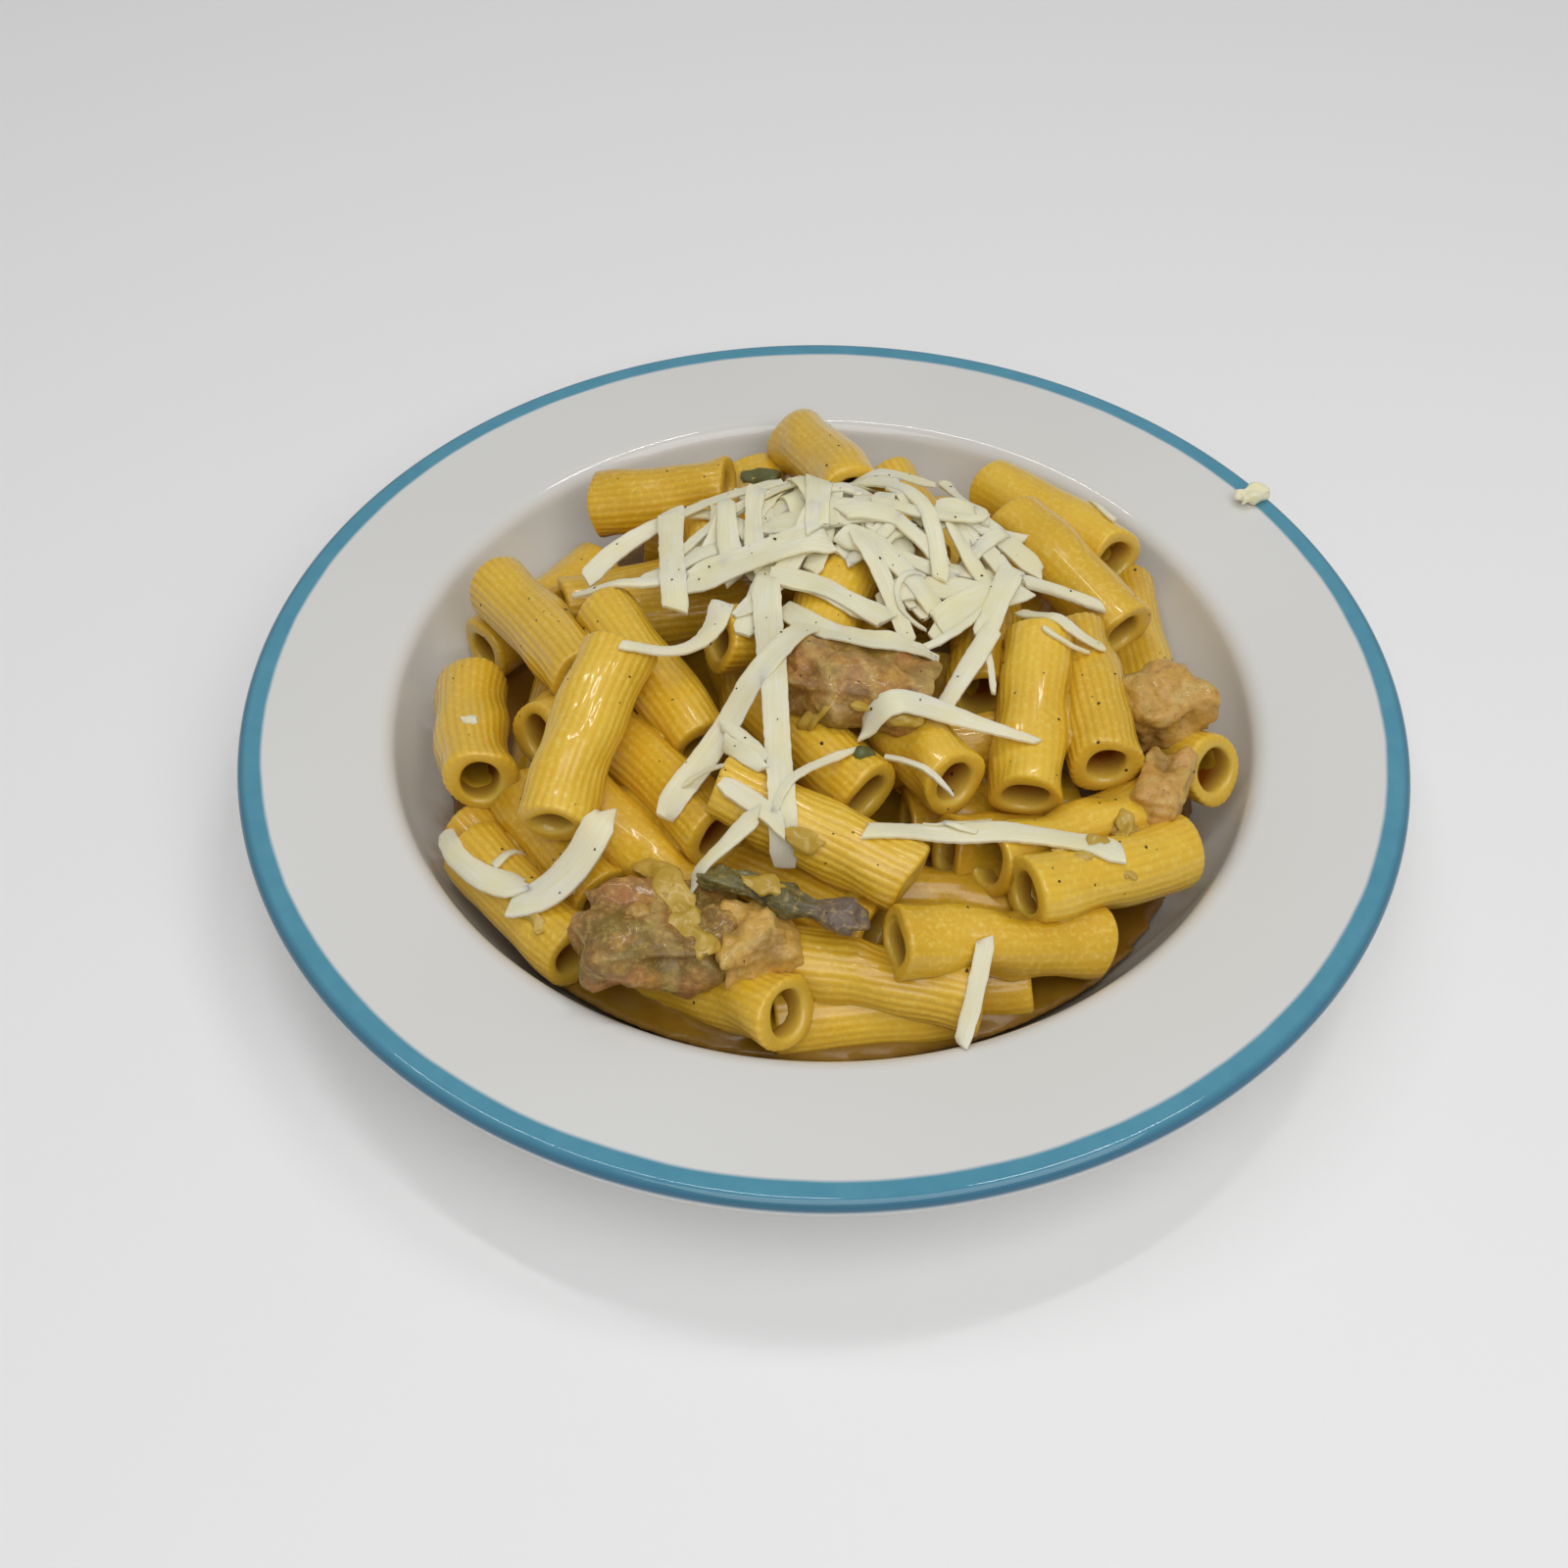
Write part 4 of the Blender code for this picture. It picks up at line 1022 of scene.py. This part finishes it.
def shred_arrays(stations, edges, draw):
    """Points, quads and marks of a curved ribbon with uneven edges and torn ends."""
    across = np.linspace(-1, 1, SHRED_ACROSS)
    cup = draw.uniform(*SHRED_CUP) * MM
    count = len(stations)
    rough = [[draw.gauss(0, 1) for _ in range(count)] for _ in range(2)]
    torn = [draw.uniform(-SHRED_TORN, SHRED_TORN) for _ in range(2)]
    tilt = draw.uniform(-SHRED_TILT, SHRED_TILT)
    swell = [draw.uniform(*limits) for limits in SHRED_SWELL]
    points_at = [draw.choice(SHRED_TIPS) for _ in range(2)]
    lifted, lift, crest = draw.randint(0, 1), draw.uniform(0.0, SHRED_LIFT), draw.uniform(0.2, 0.8)
    pace = (stations[1][0] - stations[0][0]).length
    length = (count - 1) * pace
    loops, marks = [], []
    for k, (middle, sideways, width) in enumerate(stations):
        along = Vector((sideways.y, -sideways.x))
        from_start, from_end = k * pace, (count - 1 - k) * pace
        taper = 1 + swell[0] * math.sin(swell[1] * k / count + swell[2])
        for distance, (reach, tip) in zip((from_start, from_end), points_at):
            taper *= min(1.0, tip + (1 - tip) * distance / min(reach * MM, length / 2))
        raised = [edges[k, 0], edges[k, 1]]
        breadth = min(1, width / SHRED_BROAD)
        raised[lifted] += lift * max(0.0, 1 - ((k / count - crest) / SHRED_CREST) ** 2) * breadth
        loop = []
        for level in (1, -1):
            for u in across if level > 0 else across[::-1]:
                ragged = SHRED_RAGGED * rough[0 if u < 0 else 1][k] * u * u
                offset = u * width / 2 * taper + math.copysign(ragged, u)
                pull = torn[0] if k == 0 else torn[1] if k == count - 1 else 0.0
                point = middle + sideways * offset + along * (pull * u * width / 2)
                low = raised[0] + (raised[1] - raised[0]) * (u + 1) / 2
                body = SHRED_THICKNESS / 2 * (1 + tilt * u) * (1 - SHRED_EDGE * u ** 8)
                height = low + SHRED_THICKNESS / 2 + cup * (0.4 - u * u) * breadth + level * body
                loop.append((point.x, point.y, height))
                marks.append((u * 0.5 + 0.5, min(1.0, k * pace / SHRED_SPAN), draw.random(), max(level, 0)))
        loops.append(loop)
    points = np.array(loops).reshape(-1, 3)
    columns = 2 * SHRED_ACROSS
    quads = ring_quads(count, columns, False)
    caps = []
    for first in (0, (count - 1) * columns):
        for j in range(SHRED_ACROSS - 1):
            caps.append((first + j, first + j + 1, first + columns - 2 - j, first + columns - 1 - j))
    return points, np.concatenate([quads, np.array(caps)]), np.array(marks)


def shred_piece(name, paths, ground, draw, bridge=0.0):
    """One mesh of ribbons, each dropped on what already lies there."""
    parts = []
    for path in paths:
        stations = shred_path(*path)
        parts.append(shred_arrays(stations, drape(stations, ground, bridge), draw))
        ground.add(quad_mesh("laid", *parts[-1][:2]))
    mesh = joined(name, parts)
    mesh.shade_smooth()
    mesh.set_sharp_from_angle(angle=SHARP_EDGE)
    return mesh


def pepper_mesh():
    """Ground pepper, thrown at the food from above and rather more from the diner's side."""
    draw = random.Random(PEPPER_SEED)
    ball = bmesh.new()
    bmesh.ops.create_icosphere(ball, subdivisions=1, radius=1.0)
    corners = [vertex.co.copy() for vertex in ball.verts]
    sides = [[vertex.index for vertex in face.verts] for face in ball.faces]
    ball.free()
    points, faces = [], []
    for _ in range(PEPPER_COUNT):
        bearing, reach = draw.uniform(0, 2 * math.pi), PEPPER_REACH * math.sqrt(draw.random())
        aim = around(reach, bearing, FLOOR_HEIGHT)
        way = Vector((draw.gauss(0, PEPPER_STRAY), draw.gauss(PEPPER_LEAN, PEPPER_STRAY), 1.0)).normalized()
        spot = first_hit(aim + way * SKY, -way)
        if spot is None:
            continue
        size = MM * draw.choice(PEPPER_SIZES) * draw.uniform(0.8, 1.2)
        turn = spot[1].to_track_quat("Z", "Y").to_matrix() @ Matrix.Rotation(draw.uniform(0, TURN), 3, "Z")
        flat = Matrix.Diagonal((1.0, draw.uniform(0.5, 1.0), PEPPER_FLATNESS)) * size
        faces.extend([index + len(points) for index in side] for side in sides)
        points.extend(spot[0] + turn @ flat @ (corner * draw.uniform(0.75, 1.15)) for corner in corners)
    mesh = mesh_from("pepper", points, faces)
    face_outwards(mesh)
    return mesh


def first_hit(start, way):
    """Where a ray first meets the food, the cheese or the plate within the pepper's reach, and which way it
    faces there.
    """
    best = None
    for low, high, tree in ground.food + ground.cheese:
        place, normal, _, distance = tree.ray_cast(start, way)
        if place and (best is None or distance < best[2]):
            best = (place, normal, distance)
    if best is None or best[0].xy.length > PEPPER_REACH:
        return None
    return best[0], best[1] if best[1].dot(way) < 0 else -best[1]


def fill_shreds():
    """Paths of the pile's smaller shreds, thinning out from its middle."""
    draw = random.Random(FILL_SEED)
    paths = []
    for _ in range(FILL_COUNT):
        bearing, reach = draw.uniform(0, 2 * math.pi), draw.random() ** FILL_POWER
        length, width = draw.uniform(*FILL_LENGTHS), draw.uniform(*FILL_WIDTHS)
        heading = draw.uniform(-180, 180)
        way = direction(heading, 0) * length / 2
        x = FILL_CENTRE[0] + FILL_SPREAD[0] * reach * math.cos(bearing) - way.x
        y = FILL_CENTRE[1] + FILL_SPREAD[1] * reach * math.sin(bearing) - way.y
        bend = draw.uniform(-FILL_BEND, FILL_BEND)
        tip = width * draw.uniform(*FILL_TIPS)
        paths.append((x, y, heading - FILL_TURN, bend, length, width, tip))
    return paths


def bits_mesh(name, rows, seed):
    """One mesh of small lumps, each laid on what is below it."""
    whole = bmesh.new()
    for index, (x, y, heading, *size) in enumerate(rows):
        mesh = chunk_mesh(name, size, seed + index, BIT_TONE, BIT_DETAIL, BIT_BOXINESS)
        along = direction(heading, 0) * size[0] * BIT_REST * MM
        middle = Vector((x * MM, y * MM, 0.0))
        levels = [ground.height(ground.food, place.x, place.y) for place in (middle - along, middle + along)]
        level = sum(levels) / 2 + (0.5 - BIT_SINK) * size[2] * MM
        slope = math.atan2(levels[1] - levels[0], 2 * along.length)
        set_down(mesh, x, y, level, heading, slope)
        whole.from_mesh(mesh)
        bpy.data.meshes.remove(mesh)
    mesh = bpy.data.meshes.new(name)
    whole.to_mesh(mesh)
    whole.free()
    return mesh


def rim_crumb_mesh():
    """The crumb of cheese that lies across the blue band."""
    mesh = chunk_mesh("crumb", CRUMB_SIZE, CRUMB_SEED, BIT_TONE, BIT_DETAIL)
    lowest = min(vertex.co.z for vertex in mesh.vertices)
    place = around(CRUMB_RADIUS, CRUMB_BEARING, RIM_HEIGHT - CRUMB_SINK - lowest)
    mesh.transform(Matrix.Translation(place) @ Matrix.Rotation(CRUMB_BEARING - CRUMB_TURN, 4, "Z"))
    return mesh


class Finish:
    """A material under construction: its Principled shader and short ways to add nodes."""

    def __init__(self, name, colour, roughness, **values):
        self.material = bpy.data.materials.new(name)
        self.material.use_nodes = True
        self.material.diffuse_color = (*linear(colour), 1.0)
        self.tree = self.material.node_tree
        self.shader = self.tree.nodes["Principled BSDF"]
        self.shader.inputs["Base Color"].default_value = (*linear(colour), 1.0)
        self.shader.inputs["Roughness"].default_value = roughness
        for key, value in values.items():
            self.shader.inputs[key.replace("_", " ")].default_value = value

    def node(self, kind, *links, **settings):
        """A node of this kind; links feed its inputs in order, and None leaves one alone."""
        made = self.tree.nodes.new("ShaderNode" + kind)
        for key, value in settings.items():
            setattr(made, key, value)
        for index, link in enumerate(links):
            self.feed(made.inputs[index], link)
        return made

    def feed(self, socket, link):
        if link is None:
            return
        if isinstance(link, (int, float)):
            socket.default_value = link
        elif isinstance(link, tuple):
            socket.default_value = link if len(link) == len(socket.default_value) else (*link, 1.0)
        else:
            self.tree.links.new(socket, link)

    def place(self):
        return self.node("TexCoord").outputs["Object"]

    def mark(self):
        """The painted values: red, green, blue and alpha."""
        layer = self.node("Attribute", attribute_name="mark")
        parts = self.node("SeparateColor", layer.outputs["Color"])
        return (*parts.outputs, layer.outputs["Alpha"])

    def noise(self, scale, detail=3.0, roughness=0.55, vector=None):
        made = self.node("TexNoise")
        self.feed(made.inputs["Vector"], vector or self.place())
        made.inputs["Scale"].default_value = scale
        made.inputs["Detail"].default_value = detail
        made.inputs["Roughness"].default_value = roughness
        return made.outputs["Fac"]

    def spread(self, value, low, high, to_low=0.0, to_high=1.0):
        """A value remapped from one range to another, and held there."""
        made = self.node("MapRange", value, low, high, to_low, to_high, clamp=True)
        return made.outputs["Result"]

    def maths(self, operation, first, second=None):
        made = self.node("Math", first, second, operation=operation)
        return made.outputs[0]

    def times(self, first, second):
        return self.maths("MULTIPLY", first, second)

    def patches(self, scale, detail, *limits):
        """Noise remapped from the first two limits to the rest, or to 0 and 1."""
        return self.spread(self.noise(scale, detail), *limits)

    def mix(self, share, first, second):
        made = self.node("Mix", data_type="RGBA")
        self.feed(made.inputs[0], share)
        for socket, colour in ((made.inputs[6], first), (made.inputs[7], second)):
            self.feed(socket, (*linear(colour), 1.0) if isinstance(colour, tuple) else colour)
        return made.outputs[2]

    def coats(self, body, *coats):
        """A colour under others; each coat is a value, the limits it is remapped by, and a colour."""
        for value, *limits, colour in coats:
            body = self.mix(self.spread(value, *limits), body, colour)
        return body

    def bump(self, height, distance, strength):
        made = self.node("Bump")
        made.inputs["Strength"].default_value = strength
        made.inputs["Distance"].default_value = distance
        self.feed(made.inputs["Height"], height)
        self.tree.links.new(self.shader.inputs["Normal"], made.outputs["Normal"])

    def colour(self, link):
        self.tree.links.new(self.shader.inputs["Base Color"], link)

    def rough(self, link):
        self.tree.links.new(self.shader.inputs["Roughness"], link)


def linear(colour):
    """Linear values of an sRGB colour given as 0 to 255."""
    shares = [value / 255 for value in colour[:3]]
    return tuple(c / 12.92 if c <= 0.04045 else ((c + 0.055) / 1.055) ** 2.4 for c in shares)


def glaze_finish():
    """White glaze with a blue band round the rim's edge, and sauce smear with painted shade on the well's
    wall.
    """
    made = Finish("plate_glaze", (226, 226, 223), 0.035, IOR=1.5)
    parts = made.node("SeparateXYZ", made.place())
    east, north, height = parts.outputs
    level = made.node("CombineXYZ", east, north, 0.0)
    radius = made.node("VectorMath", level.outputs[0], operation="LENGTH").outputs["Value"]
    edge = made.maths("ADD", radius, made.patches(55, 2.0, 0.0, 1.0, -BAND_STRAY, BAND_STRAY))
    border = RIM_RADIUS - BAND_WIDTH
    inner = made.spread(edge, border - BAND_SOFTNESS, border + BAND_SOFTNESS)
    band = made.times(inner, made.spread(height, *BAND_START))
    band_blue = made.mix(made.noise(150, 3.0), (72, 140, 166), (96, 160, 182))
    # Darker towards the band's outer edge, over the lip's curl.
    band_blue = made.coats(band_blue, (radius, *BAND_DARK, (58, 108, 134)))
    glaze = made.mix(made.patches(9, 1.0, 0.3, 0.7), (228, 228, 226), (222, 221, 217))
    # Sauce smear and painted shade on the well's wall: darker low down near the food, and higher up at the
    # front.
    inside = made.spread(radius, *SMEAR_AND_SHADE_RADII)
    patch = made.spread(made.noise(48, 4.0, 0.6), *SMEAR_AND_SHADE_PATCHES)
    smear_and_shade = made.times(made.times(made.spread(height, *SMEAR_AND_SHADE_HEIGHTS), inside), patch)
    front = made.times(made.spread(north, *FRONT_SMEAR_AND_SHADE_Y), made.spread(height, *FRONT_SMEAR_AND_SHADE_HEIGHTS))
    streaks = made.spread(patch, 0.0, 1.0, 0.75, 1.0)
    front = made.times(front, made.times(inside, streaks))
    smear_and_shade = made.times(made.maths("MAXIMUM", smear_and_shade, front), made.mark()[0])
    glaze = made.mix(made.times(smear_and_shade, SMEAR_AND_SHADE_SHARE), glaze, (176, 146, 78))
    made.colour(made.mix(band, glaze, band_blue))
    return made.material


def pasta_finish():
    made = Finish(
        "pasta_wet", (214, 170, 62), 0.36, IOR=1.42, Coat_Weight=0.7, Coat_Roughness=0.09,
        Subsurface_Weight=0.22, Subsurface_Radius=(1.0, 0.55, 0.12), Subsurface_Scale=0.003)
    crest, inside, tone, crease = made.mark()
    broad = made.noise(70, 3.0)
    fine = made.noise(760, 4.0, 0.65)
    body = made.mix(tone, (216, 170, 28), (242, 201, 64))
    # The grooves between the ridges are painted darker, as shade.
    body = made.coats(body, (broad, 0.35, 0.68, (230, 185, 46)), (crest, 0.0, 1.0, 0.42, 0.0, (196, 140, 12)))
    # Pale flecks of cream and painted glints, mostly on the ridges' crests.
    specks_and_glints = made.times(made.spread(fine, 0.5, 0.68), made.spread(crest, 0.2, 1.0, 0.15, 0.6))
    body = made.mix(specks_and_glints, body, (246, 216, 104))
    body = made.mix(made.times(crease, 0.45), body, (190, 140, 28))
    # Paler on the cut end; deep in the hole, a dark red-brown painted shade.
    body = made.coats(body, (inside, 0.05, 0.45, (224, 190, 74)), (inside, 0.44, 0.85, (156, 80, 14)))
    made.colour(body)
    made.rough(made.spread(broad, 0.3, 0.7, 0.26, 0.42))
    made.bump(fine, 0.0003, 0.6)
    return made.material


def herb_finish():
    made = Finish("herb_wet", (84, 88, 48), 0.4)
    made.colour(made.mix(made.noise(240, 3.0), (58, 66, 30), (122, 122, 66)))
    made.bump(made.noise(500, 3.0), 0.0004, 0.5)
    return made.material


def sauce_finish(name, first, second, low):
    made = Finish(name, (206, 160, 58), 0.3, IOR=1.42, Coat_Weight=0.3, Coat_Roughness=0.15)
    grain = made.noise(260, 4.0)
    height = made.node("SeparateXYZ", made.place()).outputs[2]
    # Darker low down between the tubes and against the wall: painted shade.
    made.colour(made.coats(first, (grain, 0.35, 0.7, second), (height, *SAUCE_SHADE_HEIGHTS, low)))
    made.bump(grain, 0.0004, 0.5)
    return made.material


def pork_finish(name, rind=False):
    made = Finish(
        name, (176, 122, 84), 0.42, IOR=1.42, Coat_Weight=0.35, Coat_Roughness=0.12,
        Subsurface_Weight=0.15, Subsurface_Radius=(1.0, 0.4, 0.2), Subsurface_Scale=0.002)
    fat, fibre, nub, tone = made.mark()
    grain = made.noise(620, 5.0, 0.7)
    lean = made.mix(made.patches(95, 3.0, 0.40, 0.60), (120, 103, 40), (172, 112, 62))
    lean = made.mix(made.patches(150, 3.0, 0.54, 0.68, 0.0, 0.8), lean, (204, 154, 66))
    lean = made.mix(made.spread(fibre, 0.6, 0.3, 0.0, 0.4), lean, (146, 94, 44))
    lean = made.mix(made.times(tone, 0.8), lean, (230, 182, 88))
    # Fat streaks; the hollows between the nubs are painted darker, as shade.
    body = made.coats(
        lean, (fat, 0.75, 1.0, 0.0, 0.5, (210, 182, 108)), (nub, 0.5, 0.25, 0.0, 0.6, (122, 86, 34)))
    if rind:
        body = made.mix(made.patches(190, 3.0, 0.35, 0.65), (84, 80, 44), (120, 112, 62))
        body = made.mix(made.spread(tone, 0.62, 0.82), body, (112, 96, 84))
    # Darker grain flecks, and paler ones that are grain and painted highlights together.
    body = made.coats(
        body, (grain, 0.5, 0.7, 0.0, 0.5, (230, 194, 112)), (grain, 0.46, 0.3, 0.0, 0.45, (112, 78, 36)))
    made.colour(body)
    made.rough(made.spread(grain, 0.3, 0.7, 0.26, 0.5))
    made.bump(grain, 0.0007, 0.8)
    return made.material


def pepper_finish():
    made = Finish("pepper_ground", (52, 38, 22), 0.6)
    made.colour(made.mix(made.noise(300, 1.0), (30, 22, 14), (92, 66, 34)))
    return made.material


def cheese_finish():
    made = Finish(
        "cheese_matt", (232, 226, 196), 0.5, IOR=1.45,
        Subsurface_Weight=0.55, Subsurface_Radius=(1.0, 0.85, 0.5), Subsurface_Scale=0.003)
    across, along, _, _ = made.mark()
    line = made.node("CombineXYZ", *map(made.times, (across, along), SHRED_STRANDS), 0.0)
    strands = made.noise(1.6, 3.0, 0.6, line.outputs[0])
    body = made.mix(made.spread(strands, 0.35, 0.65), (242, 232, 188), (249, 243, 218))
    body = made.mix(made.patches(90, 2.0, 0.4, 0.7, 0.0, 0.6), body, (240, 226, 168))
    made.colour(body)
    made.bump(strands, 0.0002, 0.35)
    return made.material


def place_camera():
    lens = bpy.data.cameras.new("camera")
    lens.sensor_width = SENSOR_WIDTH
    lens.lens = FOCAL_LENGTH
    camera = add_object("camera", lens)
    camera.location = CAMERA_PLACE
    camera.rotation_euler = (CAMERA_AIM - CAMERA_PLACE).to_track_quat("-Z", "Y").to_euler()
    bpy.context.scene.camera = camera


def add_light(name, place, aim, turn, size, power):
    lamp = bpy.data.lights.new(name, "AREA")
    lamp.shape = "RECTANGLE"
    lamp.size, lamp.size_y = size
    lamp.energy = power
    light = add_object(name, lamp)
    light.location = place
    light.rotation_euler = (Vector(aim) - Vector(place)).to_track_quat("-Z", "Y").to_euler()
    light.rotation_euler.rotate_axis("Z", math.radians(turn))


def place_stage():
    corners = [(x * FLOOR_REACH, y * FLOOR_REACH, 0) for x, y in ((-1, -1), (1, -1), (1, 1), (-1, 1))]
    floor = mesh_from("floor", corners, [(0, 1, 2, 3)])
    surface = Finish("floor_pale", (248, 248, 248), 0.7)
    add_piece("floor", floor, surface.material)
    world = bpy.data.worlds.new("world")
    world.use_nodes = True
    world.node_tree.nodes["Background"].inputs["Color"].default_value = (1.0, 1.0, 1.0, 1.0)
    world.node_tree.nodes["Background"].inputs["Strength"].default_value = WORLD_STRENGTH
    bpy.context.scene.world = world
    for light in LIGHTS:
        add_light(*light)
    bpy.context.scene.view_settings.view_transform = "Standard"


def keep(piece, slot, *replaced):
    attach(piece, "root")
    if replaced:
        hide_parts(*replaced)
    return piece


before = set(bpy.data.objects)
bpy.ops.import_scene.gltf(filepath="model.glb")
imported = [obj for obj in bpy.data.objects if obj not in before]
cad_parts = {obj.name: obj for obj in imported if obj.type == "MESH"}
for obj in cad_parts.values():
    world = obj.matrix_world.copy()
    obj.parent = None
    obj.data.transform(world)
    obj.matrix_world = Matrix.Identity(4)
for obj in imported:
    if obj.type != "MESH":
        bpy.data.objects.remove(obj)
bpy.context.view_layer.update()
cad_nodes = sorted(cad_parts)

bowl = turned("plate", bowl_outline(), BOWL_SEGMENTS)
paint_upside(bowl)
keep(add_piece("plate_glazed", bowl, glaze_finish()), "glazed_plate", "plate")

laid = settle(laid_tubes())
draw = random.Random(TUBE_SEED)
upper = [Rigatone(tube, draw) for tube in laid]
lower = [Rigatone(tube, draw, 3) for tube in low_tubes(laid)]
everyone = upper + lower
front = [tube for tube in upper if tube.middle()[1] < FRONT_LIMIT]
back = [tube for tube in upper if tube not in front]
pasta = pasta_finish()
for name, group in (("pasta_front", front), ("pasta_back", back), ("pasta_under", lower)):
    keep(add_piece(name, tubes_mesh(name, group, everyone), pasta), "pasta", "pasta_heap")

meat = pork_finish("pork_cured")
rind = pork_finish("pork_rind", True)
chunks = []
for index, (name, x, y, lift, heading, pitch, *size) in enumerate(CHUNKS):
    chunk = chunk_mesh(name, size, index, PORK_TONES[name])
    set_down(chunk, x, y, dome(x * MM, y * MM) + lift * MM, heading, math.radians(pitch))
    keep(add_piece(name + "_cured", chunk, rind if "rind" in name else meat), "pork", name)
    chunks.append(chunk)

film = [film_tube(tube) for tube in everyone] + [arrays_of(core_mesh())]
film += [arrays_of(chunk, FILM_PORK) for chunk in chunks]
sauce = merged("sauce_film", film, FILM_VOXEL, FILM_SMOOTH, FILM_KEPT)
grained(sauce, FILM_GRAIN, FILM_FINENESS)
keep(add_piece("sauce_film", sauce, sauce_finish("sauce_wet", *SAUCE_COLOURS)), "pasta", "pasta_heap")

tubes = [bpy.data.objects[name].data for name in ("pasta_front", "pasta_back")]
ground = Ground(tubes + chunks + [bowl])
cheese = cheese_finish()
draw = random.Random(SHRED_SEED)
for name, paths in LOOSE_SHREDS:
    mesh = shred_piece(name, paths, ground, draw)
    keep(add_piece(name + "_soft", mesh, cheese), "cheese", name)
piled = [name for name in cad_nodes if name.startswith(("cheese_pile", "cheese_group"))]
mesh = shred_piece("cheese_pile_soft", fill_shreds() + list(PILE_SHREDS), ground, draw, bridge=PILE_BRIDGE)
keep(add_piece("cheese_pile_soft", mesh, cheese), "cheese", *piled)
keep(add_piece("cheese_slivers", shred_piece("cheese_slivers", SLIVERS, ground, draw), cheese), "cheese")
keep(add_piece("cheese_crumb_soft", rim_crumb_mesh(), cheese), "cheese", "cheese_crumb")
for name, rows, seed, finish, slot in (
    ("sauce_curds", CURDS, 11, sauce_finish("sauce_curd", *CURD_COLOURS), "pasta"),
    ("herb_bits", HERBS, 41, herb_finish(), "pasta"),
    ("pork_bits", MEAT_BITS, 51, meat, "pork"),
    ("cheese_crumbs", CRUMBS, 61, cheese, "cheese"),
):
    keep(add_piece(name, bits_mesh(name, rows, seed), finish), slot)
keep(add_piece("pepper", pepper_mesh(), pepper_finish()), "pasta")

place_stage()
place_camera()
